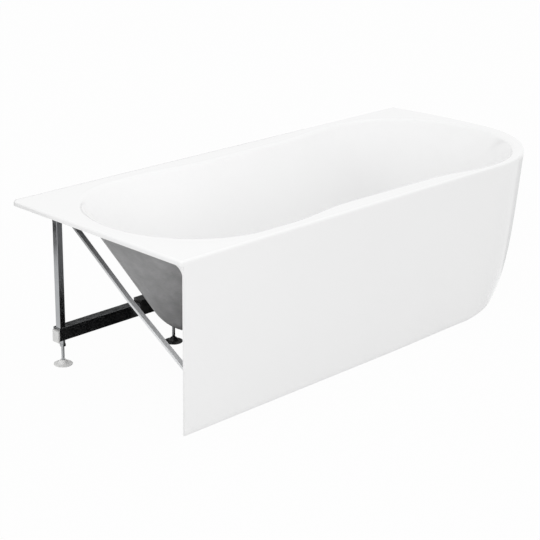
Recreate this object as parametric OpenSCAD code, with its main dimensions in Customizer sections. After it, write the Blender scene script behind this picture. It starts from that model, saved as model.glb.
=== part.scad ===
// Back-to-wall bathtub: a moulded acrylic tub with one wrap-round apron, standing on a steel frame
// with levelling feet. The left end and the back go against walls; the front and the right end show.
// Sizes are in millimetres. The modules are written from the floor corner under the left end of the
// front face, with X along the bath, Y towards the back wall and Z up.

/* [Bath] */
// Overall length along the back wall
bath_l = 1700; // [1600:10:1800]
// Overall width, front face to back wall
bath_w = 725; // [715:5:760]
// Height of the rim above the floor
bath_h = 495; // [485:5:540]
// Plan radius of the rounded front right corner
corner_r = 345; // [330:1:365]
// Plan radius of the gently bowed right end
end_r = 1825; // [1500:25:2400]
// Plan radius of the back left corner
back_corner_r = 18; // [12:1:24]
// Plan radius of the front left corner
front_corner_r = 9; // [6:1:14]

/* [Rim] */
// Thickness of the acrylic sheet
acrylic_t = 5; // [4:0.5:6]
// Height of the turned-down edge of the rim
lip_h = 15; // [14:0.5:20]
// Radius of the rim's outer edge
edge_r = 8; // [5:0.5:9]
// Radius where the rim rolls over into the bowl
roll_r = 14; // [12.5:0.5:18]
// Thickness of the glass-fibre backing
backing_t = 4; // [3:0.5:5]
// Glue line between bonded pieces
bond_gap = 0.3; // [0.2:0.1:0.5]

/* [Bowl] */
// Height of the bowl's floor above the floor
bowl_floor = 118; // [114:1:130]
// Width of the rim at the left end
rim_left = 48; // [44:1:60]
// Width of the rim at the right end
rim_right = 44; // [38:1:50]
// Width of the rim along the front at the foot end
rim_front = 21; // [20:1:30]
// Width of the rim along the back wall at the foot end
rim_back = 34; // [30:1:44]
// How much the bowl's half width shrinks towards the head end
head_narrow = 19; // [10:1:30]
// Distance from the left end to the head curve's centre
head_c = 345; // [320:5:380]
// Distance from the right end to the foot curve's centre
foot_back = 368; // [360:1:380]
// How far the arm rests stand into the bowl at the rim
arm_rest = 30; // [0:1:34]
// Lean of the backrest from upright, in degrees
head_lean = 32.6; // [30:0.2:34]
// Lean of the side walls at the head, in degrees
head_side_lean = 23; // [20:0.5:24]
// Lean of the side walls at the foot, in degrees
foot_side_lean = 14; // [12:0.5:18]
// Lean of the foot end wall, in degrees
foot_lean = 20; // [16:0.5:24]
// Radius between the backrest and the floor
head_fillet = 118; // [100:2:130]
// How far the backrest rolls in below the rim before it runs straight
head_dip = 8; // [0:1:14]
// Radius between the side walls and the floor at the head
head_side_fillet = 140; // [120:2:144]
// Radius between the walls and the floor at the foot
foot_fillet = 110; // [100:2:130]

/* [Apron] */
// Thickness of the apron
apron_t = 6; // [5:0.5:8]
// How far the apron draws in at the floor round the corner and the right end
taper = 65; // [50:1:70]
// Distance from the right end at which the front begins to draw in slightly
draw_early = 900; // [860:10:920]
// Share of the draw-in that is reached before the corner
draw_share = 0.1; // [0:0.01:0.14]
// Distance from the right end at which the main draw-in begins
draw_main = 490; // [450:10:520]
// Length along the front and corner over which the main draw-in grows
draw_l = 300; // [260:10:340]
// Radius of the fillet between the rim and the apron's left edge
web_r = 16; // [10:1:20]
// Thickness of the resin strip behind the seam under the rim
bond_t = 2.5; // [2:0.5:3]

/* [Frame] */
// Depth of the rear rail tube
rail_d = 30; // [24:1:34]
// Height of the rear rail tube
rail_h = 40; // [36:1:42]
// Height of the rear rail's underside above the floor
rail_z = 78; // [74:1:82]
// Distance from the back wall to the rear rail's front face
rail_back = 127; // [123:1:133]
// Wall of the steel tubes
tube_t = 1.5; // [1:0.25:2]
// Width of the uprights
post_w = 20; // [18:1:24]
// Depth of the uprights
post_d = 20; // [18:1:24]
// Distance from the left end to the left upright's centre
post_x = 72; // [70:1:76]
// Width of the apron brace
brace_w = 16; // [12:1:18]
// Thickness of the apron brace
brace_t = 7.5; // [6:0.5:10]
// Distance from the rim's top down to the bend of the apron brace
brace_bend_down = 200; // [195:1:210]
// Width of the cross members
cross_w = 30; // [26:1:34]
// Height of the cross members
cross_h = 15; // [14:1:18]
// Thickness of the base board
board_t = 10; // [9:0.5:11]
// Distance from the left end to the left cross member
cross_x1 = 430; // [410:5:450]
// Distance from the left end to the right cross member
cross_x2 = 1290; // [1240:5:1310]
// Distance from the front face to the front rail's front face
front_rail_y = 120; // [112:1:124]
// Width of the rail saddles
saddle_w = 120; // [90:2:130]

/* [Feet] */
// Diameter of the foot pads
pad_dia = 56; // [44:1:60]
// Diameter of the foot studs
stud_dia = 9.8; // [7.8:0.2:11.8]
// Width of the lock nuts across their flats
nut_af = 17; // [16:0.5:19]
// Thickness of the lock nuts
nut_h = 8; // [6:0.5:9]
// Height of the lock nuts above the floor
nut_z = 58; // [54:1:60]
// Distance from the left end to the rear left foot
rear_foot_x = 77; // [74:1:80]
// Distance from the rear rail's front face to the rear feet's centre line
rear_foot_in = 10; // [8:1:14]
// Distance from each inner foot to the rear rail
inner_foot_back = 82; // [78:1:94]
// Height of the stud tops above the floor
stud_top = 88; // [86:0.5:90]

/* [Waste and overflow] */
// Distance from the left end to the waste and the overflow
waste_x = 880; // [860:5:900]
// Radius of the waste hole in the bowl
waste_hole_r = 26; // [25:0.5:28]
// Radius of the waste flange
flange_r = 36; // [34:0.5:40]
// Depth of the overflow's centre below the rim
overflow_depth = 82; // [78:1:90]
// Radius of the overflow hole in the bowl
overflow_hole_r = 26; // [24:0.5:27]
// Radius of the overflow's face plate
overflow_r = 35; // [33:0.5:38]
// Outer radius of the hose over its ribs
hose_r = 16; // [15:0.5:17]
// Distance between the hose's ribs
hose_pitch = 6; // [5:0.5:8]
// Outer radius of the waste pipe that the trap takes
pipe_r = 20; // [18:0.5:21]
// Length of pipe that the trap takes
pipe_grip = 32; // [28:1:36]

/* [Hidden] */

acrylic_white = [0.95, 0.95, 0.95];
backing_grey = [0.5, 0.5, 0.51];
steel = [0.66, 0.67, 0.69];
pale_grey = [0.82, 0.82, 0.82];
chrome_grey = [0.78, 0.79, 0.8];
black = [0.1, 0.1, 0.1];

// Moves a piece from the floor corner to the middle of the bath's footprint
module at_middle() {
    translate([-bath_l / 2, -bath_w / 2, 0]) children();
}

// The plan of the rim and of the bowl's opening

bowl_depth = bath_h - bowl_floor;
foot_half_w = (bath_w - rim_front - rim_back) / 2;
head_half_w = foot_half_w - head_narrow;
bowl_y = rim_front + foot_half_w;
corner_x = bath_l - corner_r;
foot_c = bath_l - foot_back;
end_from = corner_r + 50;
function end_fall(y) = y <= end_from ? 0 : end_r - sqrt(end_r * end_r - pow(y - end_from, 2));
function end_x(y) = bath_l - end_fall(y);
function end_tilt(y) = y <= end_from ? 0 : asin((y - end_from) / end_r);

arc_step = 7.5;
side_steps = 16;
corner_half = 4;
// Stations round the bath: the foot curve, the back, the head curve and the front. Each is the
// section that it lies in and its angle or its share of that section.
foot_stations = [for (a = [-90:arc_step:90]) [0, a]];
back_stations = [for (k = [1:side_steps - 1]) [1, k / side_steps]];
head_angles = concat([for (a = [90:arc_step:127.5]) a], [for (a = [131:2:139]) a],
    [for (a = [142.5:arc_step:217.5]) a], [for (a = [221:2:229]) a],
    [for (a = [232.5:arc_step:270]) a]);
head_stations = [for (a = head_angles) [2, a]];
front_stations = [for (k = [1:side_steps - 1]) [3, k / side_steps]];
stations = concat(foot_stations, back_stations, head_stations, front_stations);

// The direction in which a rounded corner faces at an angle within it
function corner_turn(a, middle) = middle - 45 + 90 * (a - middle + corner_half) / (2 * corner_half);
function corner_point(a, middle, r, centre) =
    let(turn = corner_turn(a, middle)) centre + r * [cos(turn), sin(turn)];
function in_corner(a, middle) = abs(a - middle) <= corner_half;
function rim_foot(a) =
    a <= 0 ? [corner_x + corner_r * cos(a), corner_r + corner_r * sin(a)]
    : a <= 45 ? let(y = corner_r + (bath_w - corner_r) * tan(a)) [end_x(y), y]
    : [foot_c + (end_x(bath_w) - foot_c) * tan(90 - a), bath_w];
function rim_head(a) =
    in_corner(a, 135) ? corner_point(a, 135, back_corner_r, [back_corner_r, bath_w - back_corner_r])
    : in_corner(a, 225) ? corner_point(a, 225, front_corner_r, [front_corner_r, front_corner_r])
    : a < 135 ? [head_c - head_c * tan(a - 90), bath_w]
    : a < 180 ? [0, bowl_y + (bath_w - bowl_y) * tan(180 - a)]
    : a < 225 ? [0, bowl_y - bowl_y * tan(a - 180)]
    : [head_c - head_c * tan(270 - a), 0];
function rim_point(s) =
    s[0] == 0 ? rim_foot(s[1])
    : s[0] == 1 ? [foot_c + (head_c - foot_c) * s[1], bath_w]
    : s[0] == 2 ? rim_head(s[1])
    : [head_c + (corner_x - head_c) * s[1], 0];
// The way into the bath, long enough to keep mitred corners square
function inward(s) =
    s[0] == 0 ? (s[1] <= 0 ? [-cos(s[1]), -sin(s[1])]
        : s[1] < 45 ? [-1 / cos(end_tilt(rim_foot(s[1])[1])), 0]
        : s[1] == 45 ? [-cos(end_tilt(bath_w)) / (1 + sin(end_tilt(bath_w))), -1]
        : [0, -1])
    : s[0] == 1 ? [0, -1]
    : s[0] == 3 ? [0, 1]
    : in_corner(s[1], 135) ? [-cos(corner_turn(s[1], 135)), -sin(corner_turn(s[1], 135))]
    : in_corner(s[1], 225) ? [-cos(corner_turn(s[1], 225)), -sin(corner_turn(s[1], 225))]
    : s[1] < 135 ? [0, -1]
    : s[1] < 225 ? [1, 0]
    : [0, 1];

// The draw-in of the apron: its growth along the front and corner, and down the height

function ease(t) = let(u = min(1, max(0, t))) u * u * (3 - 2 * u);
early_from = bath_l - draw_early;
main_from = bath_l - draw_main;
function taper_share(run) = draw_share * ease((run - early_from) / (draw_early - draw_main))
    + (1 - draw_share) * ease((run - main_from) / draw_l);
function taper_drop(z) = let(t = 1 - z / bath_h) 0.56 * t + 0.44 * pow(t, 4.7);
function arc_run(a) = corner_x + corner_r * (a + 90) * PI / 180;
function station_taper(s) =
    s[0] == 0 ? (s[1] <= 0 ? taper_share(arc_run(s[1])) : s[1] <= 45 ? 1 : 0)
    : s[0] == 3 || (s[0] == 2 && s[1] > 225) ? taper_share(rim_point(s)[0])
    : 0;
function taper_way(s) = s[0] == 0 && s[1] == 45 ? [-1, 0] : inward(s);

// The bowl: each wall runs down straight at its lean, then turns into the floor

function wall_run(lean, fillet) =
    tan(lean) * (bowl_depth - fillet * (1 - sin(lean))) + fillet * cos(lean);
function wall_inset(depth, lean, fillet, skin) =
    depth <= bowl_depth - fillet + (fillet + skin) * sin(lean)
    ? tan(lean) * depth - skin / cos(lean)
    : wall_run(lean, fillet)
      - sqrt(max(0, pow(fillet + skin, 2) - pow(depth - bowl_depth + fillet, 2)));

foot_half_l = foot_back - rim_right;
head_half_l = head_c - rim_left;
head_shift = 0.86;
dip_depth = 40;
// One level of the bowl as [head centre, head half length, head half width, foot half length,
// foot half width], from the insets of its four kinds of wall
function bowl_level(head, head_side, foot, foot_side) = [
    head_c + head_shift * head, head_half_l - (1 - head_shift) * head, head_half_w - head_side,
    foot_half_l - foot, foot_half_w - foot_side];
function wall_level(depth, skin) = bowl_level(
    wall_inset(depth, head_lean, head_fillet, skin) + head_dip * min(1, max(0, depth) / dip_depth),
    wall_inset(depth, head_side_lean, head_side_fillet, skin),
    wall_inset(depth, foot_lean, foot_fillet, skin),
    wall_inset(depth, foot_side_lean, foot_fillet, skin));
// The arm rests stand in along the middle of both sides, most at the rim and not at all at the floor
arm_from = 500;
arm_to = 1280;
arm_in = 140;
arm_out = 200;
function arm_share(x) = ease((x - arm_from) / arm_in) * ease((arm_to - x) / arm_out);
function arm_inset(x, depth) = arm_rest * arm_share(x) * pow(max(0, 1 - depth / bowl_depth), 1.5);
function side_half_w(x, level, depth) =
    level[2] + (level[4] - level[2]) * (x - level[0]) / (foot_c - level[0]) - arm_inset(x, depth);
function bowl_point(s, level, depth) =
    s[0] == 0 ? [foot_c + level[3] * cos(s[1]), bowl_y + level[4] * sin(s[1])]
    : s[0] == 2 ? [level[0] + level[1] * cos(s[1]), bowl_y + level[2] * sin(s[1])]
    : let(t = s[0] == 1 ? 1 - s[1] : s[1], side = s[0] == 1 ? 1 : -1,
          x = level[0] + (foot_c - level[0]) * t)
      [x, bowl_y + side * side_half_w(x, level, depth)];

// Rings round the bath, each a list of points in space

function bowl_ring(depth, level) =
    [for (s = stations) concat(bowl_point(s, level, depth), bath_h - depth)];
function rim_ring(inset, z) = [for (s = stations)
    let(pull = taper * station_taper(s) * taper_drop(z))
    concat(rim_point(s) + inward(s) * inset + taper_way(s) * pull, z)];

roll_lean = 20;
roll_tangent = roll_r * tan((90 - roll_lean) / 2);
roll_turns = [0, 25, 50, 70];
function roll_ring(turn, skin) =
    let(inset = (roll_r - skin) * sin(turn) - roll_tangent)
    bowl_ring(roll_r - (roll_r - skin) * cos(turn), bowl_level(inset, inset, inset, inset));

floor_turns = [20, 32, 43, 54, 64, 73, 82, 90];
function floor_depth(turn, skin) =
    bowl_depth - head_side_fillet + (head_side_fillet + skin) * sin(turn);
function floor_ring(turn, skin) =
    let(depth = floor_depth(turn, skin)) bowl_ring(depth, wall_level(depth, skin));
// Depths of the rings between the rim and the turn into the floor
wall_steps = 4;
wall_pitch = (floor_depth(floor_turns[0], 0) - dip_depth) / wall_steps;
wall_depths = [for (k = [0:wall_steps - 1]) dip_depth + wall_pitch * k];
function wall_ring(depth, skin) = bowl_ring(depth, wall_level(depth, skin));
function reversed(list) = [for (i = [len(list) - 1:-1:0]) list[i]];

// Closes a stack of equal rings into one solid, with a fan over its first and last ring. Rings that
// rise and rings that sink are split along the same diagonals, so that nested stacks keep their gap.
module stack(rings) {
    n = len(rings[0]);
    m = len(rings);
    function middle(ring) =
        [for (k = [0:2]) (max([for (p = ring) p[k]]) + min([for (p = ring) p[k]])) / 2];
    points = concat([for (ring = rings) each ring], [middle(rings[0]), middle(rings[m - 1])]);
    sides = [for (j = [0:m - 2], i = [0:n - 1])
        let(a = j * n + i, b = j * n + (i + 1) % n,
            down = rings[j][0][2] >= rings[j + 1][0][2])
        each (down ? [[a, b, b + n], [a, b + n, a + n]] : [[a, b, a + n], [b, b + n, a + n]])];
    first = [for (i = [0:n - 1]) [(i + 1) % n, i, m * n]];
    last = [for (i = [0:n - 1]) [(m - 1) * n + i, (m - 1) * n + (i + 1) % n, m * n + 1]];
    polyhedron(points, concat(sides, first, last), convexity = 10);
}

// The acrylic tub: bowl, rim and turned-down edge in one skin

edge_turns = [0, 30, 60, 90];
cove_r = min(lip_h - acrylic_t - 1, rim_front - roll_tangent - acrylic_t - 0.2);
shell_top = concat(
    [for (a = reversed(floor_turns)) floor_ring(a, 0)],
    [for (d = reversed(wall_depths)) wall_ring(d, 0)],
    [for (a = reversed(roll_turns)) roll_ring(a, 0)],
    [for (a = edge_turns) rim_ring(edge_r * (1 - sin(a)), bath_h - edge_r * (1 - cos(a)))],
    [rim_ring(0, bath_h - lip_h)]);
shell_under = concat(
    [rim_ring(acrylic_t, bath_h - lip_h)],
    [for (a = [0:30:90]) rim_ring(acrylic_t + cove_r * (1 - cos(a)),
                                  bath_h - acrylic_t - cove_r * (1 - sin(a)))],
    [for (a = roll_turns) roll_ring(a, acrylic_t)],
    [for (d = wall_depths) wall_ring(d, acrylic_t)],
    [for (a = floor_turns) floor_ring(a, acrylic_t)]);

floor_z = bowl_floor;
skin_in = acrylic_t + bond_gap;
skin_out = skin_in + backing_t;
belly_z = floor_z - skin_out;

// Where the overflow's axis meets the inside of the front wall, and how the wall stands there
function front_wall_y(x, depth) = bowl_y - side_half_w(x, wall_level(depth, 0), depth);
overflow_at = [waste_x, front_wall_y(waste_x, overflow_depth), bath_h - overflow_depth];
overflow_lean = atan((front_wall_y(waste_x, overflow_depth + 30) - overflow_at[1]) / 30);
overflow_yaw = atan((front_wall_y(waste_x + 30, overflow_depth) - overflow_at[1]) / 30);
// Puts +Z square out of the front wall into the bowl, with the wall's inner face at 0
module on_overflow() {
    translate(overflow_at) rotate([0, 0, overflow_yaw]) rotate([overflow_lean - 90, 0, 0]) children();
}
module at_waste() {
    translate([waste_x, bowl_y, 0]) children();
}

module tub_shell() color(acrylic_white) at_middle() difference() {
    stack(concat(shell_top, shell_under));
    at_waste() translate([0, 0, floor_z - 20]) cylinder(r = waste_hole_r, h = 40, $fn = 48);
    on_overflow() translate([0, 0, -20]) cylinder(r = overflow_hole_r, h = 40, $fn = 48);
}

module bowl_backing() color(backing_grey) at_middle() difference() {
    stack(concat([for (a = reversed(floor_turns)) floor_ring(a, skin_in)],
        [for (d = reversed(wall_depths)) wall_ring(d, skin_in)],
        [for (a = reversed(roll_turns)) roll_ring(a, skin_in)],
        [for (a = roll_turns) roll_ring(a, skin_out)],
        [for (d = wall_depths) wall_ring(d, skin_out)],
        [for (a = floor_turns) floor_ring(a, skin_out)]));
    at_waste() translate([0, 0, floor_z - 30]) cylinder(r = waste_hole_r, h = 40, $fn = 48);
    on_overflow() translate([0, 0, -25]) cylinder(r = overflow_hole_r, h = 40, $fn = 48);
}

// The apron: a skirt under the rim's front and right end, drawn in towards the floor

apron_x1 = 8;
apron_front = concat([for (k = [0:2]) apron_x1 + (early_from - apron_x1) * k / 3],
    [for (k = [0:2]) early_from + (main_from - early_from) * k / 3],
    [for (k = [0:3]) main_from + (corner_x - main_from) * k / 4]);
apron_end_steps = 5;
apron_stations = concat(
    [for (x = apron_front) [[x, 0], [0, 1], taper_share(x)]],
    [for (a = [-90:arc_step:0]) [rim_foot(a), [-cos(a), -sin(a)], taper_share(arc_run(a))]],
    [for (k = [1:apron_end_steps])
        let(y = corner_r + (bath_w - corner_r) * k / apron_end_steps)
        [[end_x(y), y], [-1 / cos(end_tilt(y)), 0], 1]]);
apron_top = bath_h - lip_h;
foot_roll = 12;
foot_roll_in = 1.2;
apron_levels = concat([for (k = [0:5]) apron_top - (apron_top - 60) * k / 6], [60, 36, 20, 12, 5, 0]);
function apron_point(s, inset, z) =
    let(roll = z < foot_roll ? foot_roll_in * pow(1 - z / foot_roll, 2) : 0)
    concat(s[0] + s[1] * (inset + roll + taper * s[2] * taper_drop(z)), z);
// A closed strip: each station has the same outline, down outside and up inside
module strip(sections) {
    n = len(sections[0]);
    m = len(sections);
    half = n / 2;
    sides = [for (j = [0:m - 2], i = [0:n - 1])
        let(a = j * n + i, b = j * n + (i + 1) % n)
        each [[a, a + n, b + n], [a, b + n, b]]];
    first = [for (i = [0:half - 2]) each [[i, i + 1, n - 2 - i], [i, n - 2 - i, n - 1 - i]]];
    last = [for (f = first) [(m - 1) * n + f[0], (m - 1) * n + f[2], (m - 1) * n + f[1]]];
    polyhedron([for (s = sections) each s], concat(sides, first, last), convexity = 10);
}

web_t = 6;
module apron() color(acrylic_white) at_middle() {
    strip([for (s = apron_stations) concat(
        [for (z = apron_levels) apron_point(s, 0, z)],
        [for (z = reversed(apron_levels)) apron_point(s, apron_t, z)])]);
    // The left edge turns into the rim with a fillet
    translate([apron_x1, apron_t, apron_top]) rotate([90, 0, 90]) linear_extrude(web_t) difference() {
        translate([-1, -web_r]) square([web_r + 1, web_r]);
        translate([web_r, -web_r]) circle(r = web_r, $fn = 48);
    }
}

// Resin strip behind the seam between rim and apron
bond_z = bath_h - lip_h - 22;
bond_h = 20;
bond_start = [[apron_x1 + web_t + 1, 0], [0, 1], 0];
bond_stations = concat([bond_start],
    [for (k = [1:len(apron_stations) - 1]) apron_stations[k]]);
module apron_bond() color(acrylic_white) at_middle() strip([for (s = bond_stations) concat(
    [for (z = [bond_z + bond_h, bond_z]) apron_point(s, apron_t + bond_gap, z)],
    [for (z = [bond_z, bond_z + bond_h]) apron_point(s, apron_t + bond_gap + bond_t, z)])]);

// Wooden pieces under the bowl and the rim

board_z = belly_z - bond_gap - board_t;
board_x1 = cross_x1 - 10;
board_x2 = cross_x2 + 90;
board_half_1 = 84;
board_half_2 = 120;
board_cut = 30;
board_hole_r = flange_r + 24;
// The hose passes through a slot in the board's front edge
board_slot_w = 2 * hose_r + 16;
screw_r = 2.4;
screw_hole_r = screw_r + 0.3;
screw_ys = [bowl_y - 60, bowl_y + 60];
module base_board() color("burlywood") at_middle() difference() {
    translate([0, 0, board_z]) linear_extrude(board_t) polygon([
        [board_x1, bowl_y - board_half_1], [board_x2 - board_cut, bowl_y - board_half_2],
        [board_x2, bowl_y - board_half_2 + board_cut], [board_x2, bowl_y + board_half_2 - board_cut],
        [board_x2 - board_cut, bowl_y + board_half_2], [board_x1, bowl_y + board_half_1]]);
    at_waste() translate([0, 0, board_z - 1]) cylinder(r = board_hole_r, h = board_t + 2, $fn = 64);
    at_waste() translate([-board_slot_w / 2, -board_half_2 - 1, board_z - 1])
        cube([board_slot_w, board_half_2, board_t + 2]);
    at_base_screws() translate([0, 0, -1]) cylinder(r = screw_hole_r, h = screw_l + 2, $fn = 24);
}

deck_z = bath_h - acrylic_t;
block_t = 14;
block_z = deck_z - bond_gap - block_t;
rail_y = bath_w - rail_back;
batten_x = acrylic_t + cove_r + 7;
batten_w = rim_left - roll_tangent - 1 - batten_x;
module rim_batten() color("burlywood") at_middle()
    translate([batten_x, 60, block_z]) cube([batten_w, rail_y - 160, block_t]);

right_post_x = end_x(rail_y + rail_d) - 68;
module deck_block(x, y, size) color("burlywood") at_middle()
    translate([x, y, block_z]) cube([size[0], size[1], block_t]);
module deck_block_left() deck_block(post_x - 32, rail_y - 36, [54, 100]);
module deck_block_right() deck_block(right_post_x - 14, rail_y + 2, [40, 60]);

// Steel frame

// A tube along X, Y or Z given by its corner, its size and the axis that it runs along
module tube(corner, size, axis) {
    hollow = [for (k = [0:2]) k == axis ? size[k] + 2 : size[k] - 2 * tube_t];
    start = [for (k = [0:2]) k == axis ? -1 : tube_t];
    translate(corner) difference() {
        cube(size);
        translate(start) cube(hollow);
    }
}

front_rail_d = 20;
front_rail_h = 20;
rail_x1 = post_x - post_w / 2 - 2;
rail_x2 = right_post_x + post_w / 2;
stud_r = stud_dia / 2;
stud_gap = 0.1;
stud_hole_r = stud_r + 0.6;
rear_foot_xs = [rear_foot_x, right_post_x - 62];
inner_foot_ys = [rail_y - inner_foot_back, front_rail_y + front_rail_d + inner_foot_back];
inner_feet = [for (x = [cross_x1, cross_x2], y = inner_foot_ys) [x, y]];
rear_feet = [for (x = rear_foot_xs) [x, rail_y + rear_foot_in]];

module stud_holes(feet, z, h) for (p = feet)
    translate([p[0], p[1], z]) cylinder(r = stud_hole_r, h = h, $fn = 32);

module rear_rail() color(steel) at_middle() difference() {
    tube([rail_x1, rail_y, rail_z], [rail_x2 - rail_x1, rail_d, rail_h], 0);
    stud_holes(rear_feet, rail_z - 1, tube_t + 2);
}

cap_t = 5;
cap_drop = 4;
module rail_cap(x, side) color(pale_grey) at_middle() {
    translate([side < 0 ? x - cap_t : x, rail_y, rail_z - cap_drop])
        cube([cap_t, rail_d - 2, rail_h - cap_drop]);
    translate([side < 0 ? x - 1 : x - 12, rail_y + tube_t + bond_gap, rail_z + tube_t + bond_gap])
        cube([13, rail_d - 2 * (tube_t + bond_gap), rail_h - 2 * cap_drop - tube_t - bond_gap]);
}
module rail_cap_left() rail_cap(rail_x1, -1);
module rail_cap_right() rail_cap(rail_x2, 1);

cross_z = board_z - cross_h;
front_rail_x1 = cross_x1 - saddle_w / 2 - 6;
front_rail_x2 = cross_x2 + saddle_w / 2 + 6;
module front_rail() color(steel) at_middle()
    tube([front_rail_x1, front_rail_y, cross_z],
         [front_rail_x2 - front_rail_x1, front_rail_d, front_rail_h], 0);

saddle_t = 2.7;
saddle_gap = 0.3;
saddle_top = 9.5;
cross_y1 = front_rail_y + front_rail_d + saddle_gap + saddle_t;
cross_y2 = rail_y - saddle_gap - saddle_t;
module cross_member(x) color(steel) at_middle() difference() {
    tube([x - cross_w / 2, cross_y1, cross_z], [cross_w, cross_y2 - cross_y1, cross_h], 1);
    stud_holes([for (y = inner_foot_ys) [x, y]], cross_z - 1, cross_h + 2);
    at_base_screws() translate([0, 0, -1]) cylinder(r = screw_hole_r, h = screw_l + 2, $fn = 24);
}
module cross_member_left() cross_member(cross_x1);
module cross_member_right() cross_member(cross_x2);

// An inverted trough that hooks over a rail and takes the end of a cross member
module saddle(x, y, z, rail) {
    room = [rail[0] + 2 * saddle_gap, rail[1] + saddle_gap];
    translate([x - saddle_w / 2, y, z]) difference() {
        translate([0, -saddle_gap - saddle_t, 0])
            cube([saddle_w, room[0] + 2 * saddle_t, room[1] + saddle_top]);
        translate([-1, -saddle_gap, -1]) cube([saddle_w + 2, room[0], room[1] + 1]);
    }
}
module rear_saddles() color(black) at_middle() for (x = [cross_x1, cross_x2])
    saddle(x, rail_y, rail_z, [rail_d, rail_h]);
module front_saddles() color(black) at_middle() for (x = [cross_x1, cross_x2])
    saddle(x, front_rail_y, cross_z, [front_rail_d, front_rail_h]);

post_top = block_z;
module upright(x) color(steel) at_middle()
    tube([x - post_w / 2, rail_y, rail_z + rail_h], [post_w, post_d, post_top - rail_z - rail_h], 2);
module upright_left() upright(post_x);
module upright_right() upright(right_post_x);

bracket_t = 3;
bracket_l = 34;
module upright_brackets() color(steel) at_middle() for (x = [post_x, right_post_x])
    translate([x - post_w / 2 + 2, rail_y + post_d, post_top]) {
        translate([0, 0, -bracket_l]) cube([post_w - 4, bracket_t, bracket_l]);
        translate([0, 0, -bracket_t]) cube([post_w - 4, bracket_l, bracket_t]);
    }

// The brace rises from the foot of the apron to the top of the left upright, with a slight bend
cleat_t = 12;
cleat_y = apron_t + bond_gap;
brace_y = cleat_y + cleat_t;
brace_x = post_x - post_w / 2;
brace_bend_in = 308;
brace_top_in = 40;
brace_bend_y = rail_y - brace_bend_in;
brace_bend_z = bath_h - brace_bend_down;
brace_top_y = rail_y - brace_top_in;
brace_top_z = post_top - bond_gap;
brace_rise_low = 0.592;
brace_rise_high = (brace_top_z - brace_bend_z) / (brace_top_y - brace_bend_y);
function brace_z(y) =
    brace_bend_z + (y - brace_bend_y) * (y < brace_bend_y ? brace_rise_low : brace_rise_high);
brace_drop = brace_t * sqrt(1 + brace_rise_high * brace_rise_high);
module apron_brace() color(steel) at_middle() translate([brace_x + brace_w, 0, 0])
    rotate([0, -90, 0]) linear_extrude(brace_w) polygon([
        [brace_z(brace_y), brace_y], [brace_bend_z, brace_bend_y], [brace_top_z, brace_top_y],
        [brace_top_z, brace_top_y + brace_drop / brace_rise_high],
        [brace_bend_z - brace_drop, brace_bend_y],
        [brace_z(brace_y) - brace_drop, brace_y]]);

stay_from_cross = 90;
stay_before_draw = 40;
stay_xs = [cross_x1 + stay_from_cross, early_from - stay_before_draw];
stay_w = 20;
module apron_stays() color(steel) at_middle() for (x = stay_xs)
    tube([x - stay_w / 2, brace_y, cross_z], [stay_w, front_rail_y - brace_y, front_rail_h], 1);

cleat_w = 50;
cleat_h = 64;
cleats = concat([[brace_x + brace_w / 2, brace_z(brace_y) - brace_drop / 2]],
    [for (x = stay_xs) [x, cross_z + front_rail_h / 2]]);
module apron_cleats() color("burlywood") at_middle() for (c = cleats)
    translate([c[0] - cleat_w / 2, cleat_y, c[1] - cleat_h / 2]) cube([cleat_w, cleat_t, cleat_h]);

// Levelling feet: each has a welded bush, a lock nut, a stud that turns and a pad that it turns in

bush_r = 8;
bush_z = nut_z + nut_h;
module ring(r, hole_r, z, h, sides = 48) translate([0, 0, z]) difference() {
    cylinder(r = r, h = h, $fn = sides);
    translate([0, 0, -1]) cylinder(r = hole_r, h = h + 2, $fn = 48);
}
module stud_bushes() color(steel) at_middle() {
    for (p = rear_feet) translate([p[0], p[1], 0])
        ring(bush_r, stud_r + stud_gap, bush_z, rail_z - bush_z);
    for (p = inner_feet) translate([p[0], p[1], 0])
        ring(bush_r, stud_r + stud_gap, bush_z, cross_z - bush_z);
}
module lock_nuts() color(steel) at_middle() for (p = concat(rear_feet, inner_feet))
    translate([p[0], p[1], 0]) ring(nut_af / sqrt(3), stud_r + stud_gap, nut_z, nut_h, 6);

stud_foot = 5;
pad_h = 14.5;
boss_r = 14;
flat_z = pad_h + 3;
flat_h = 8;
module stud(p) color(steel) at_middle() translate([p[0], p[1], 0]) difference() {
    union() {
        translate([0, 0, stud_foot + 3]) cylinder(r = stud_r, h = stud_top - stud_foot - 3, $fn = 48);
        translate([0, 0, stud_foot]) cylinder(r = stud_r + 2, h = 4, $fn = 48);
    }
    for (side = [-1, 1])
        translate([side * (stud_r + 3.9), 0, flat_z + flat_h / 2]) cube([10, 20, flat_h], center = true);
}
// A disc with a raised boss that keeps the stud's flanged end
module pad(p, tint) color(tint) at_middle() translate([p[0], p[1], 0]) rotate_extrude($fn = 64) polygon([
    [0, 0], [pad_dia / 2 - 1, 0], [pad_dia / 2, 1], [pad_dia / 2, 2.6], [boss_r + 1.5, 4.4],
    [boss_r, 6], [boss_r - 1.4, 10], [boss_r - 4.5, pad_h - 0.7], [boss_r - 5.5, pad_h],
    [stud_r + stud_gap, pad_h], [stud_r + stud_gap, stud_foot + 4 + stud_gap],
    [stud_r + 2 + stud_gap, stud_foot + 4 + stud_gap], [stud_r + 2 + stud_gap, stud_foot - stud_gap],
    [0, stud_foot - stud_gap]]);

module pad_rear_left() pad(rear_feet[0], pale_grey);
module pad_rear_right() pad(rear_feet[1], pale_grey);
module pad_back_left() pad(inner_feet[0], black);
module pad_front_left() pad(inner_feet[1], black);
module pad_back_right() pad(inner_feet[2], black);
module pad_front_right() pad(inner_feet[3], black);
module stud_rear_left() stud(rear_feet[0]);
module stud_rear_right() stud(rear_feet[1]);
module stud_back_left() stud(inner_feet[0]);
module stud_front_left() stud(inner_feet[1]);
module stud_back_right() stud(inner_feet[2]);
module stud_front_right() stud(inner_feet[3]);

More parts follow.
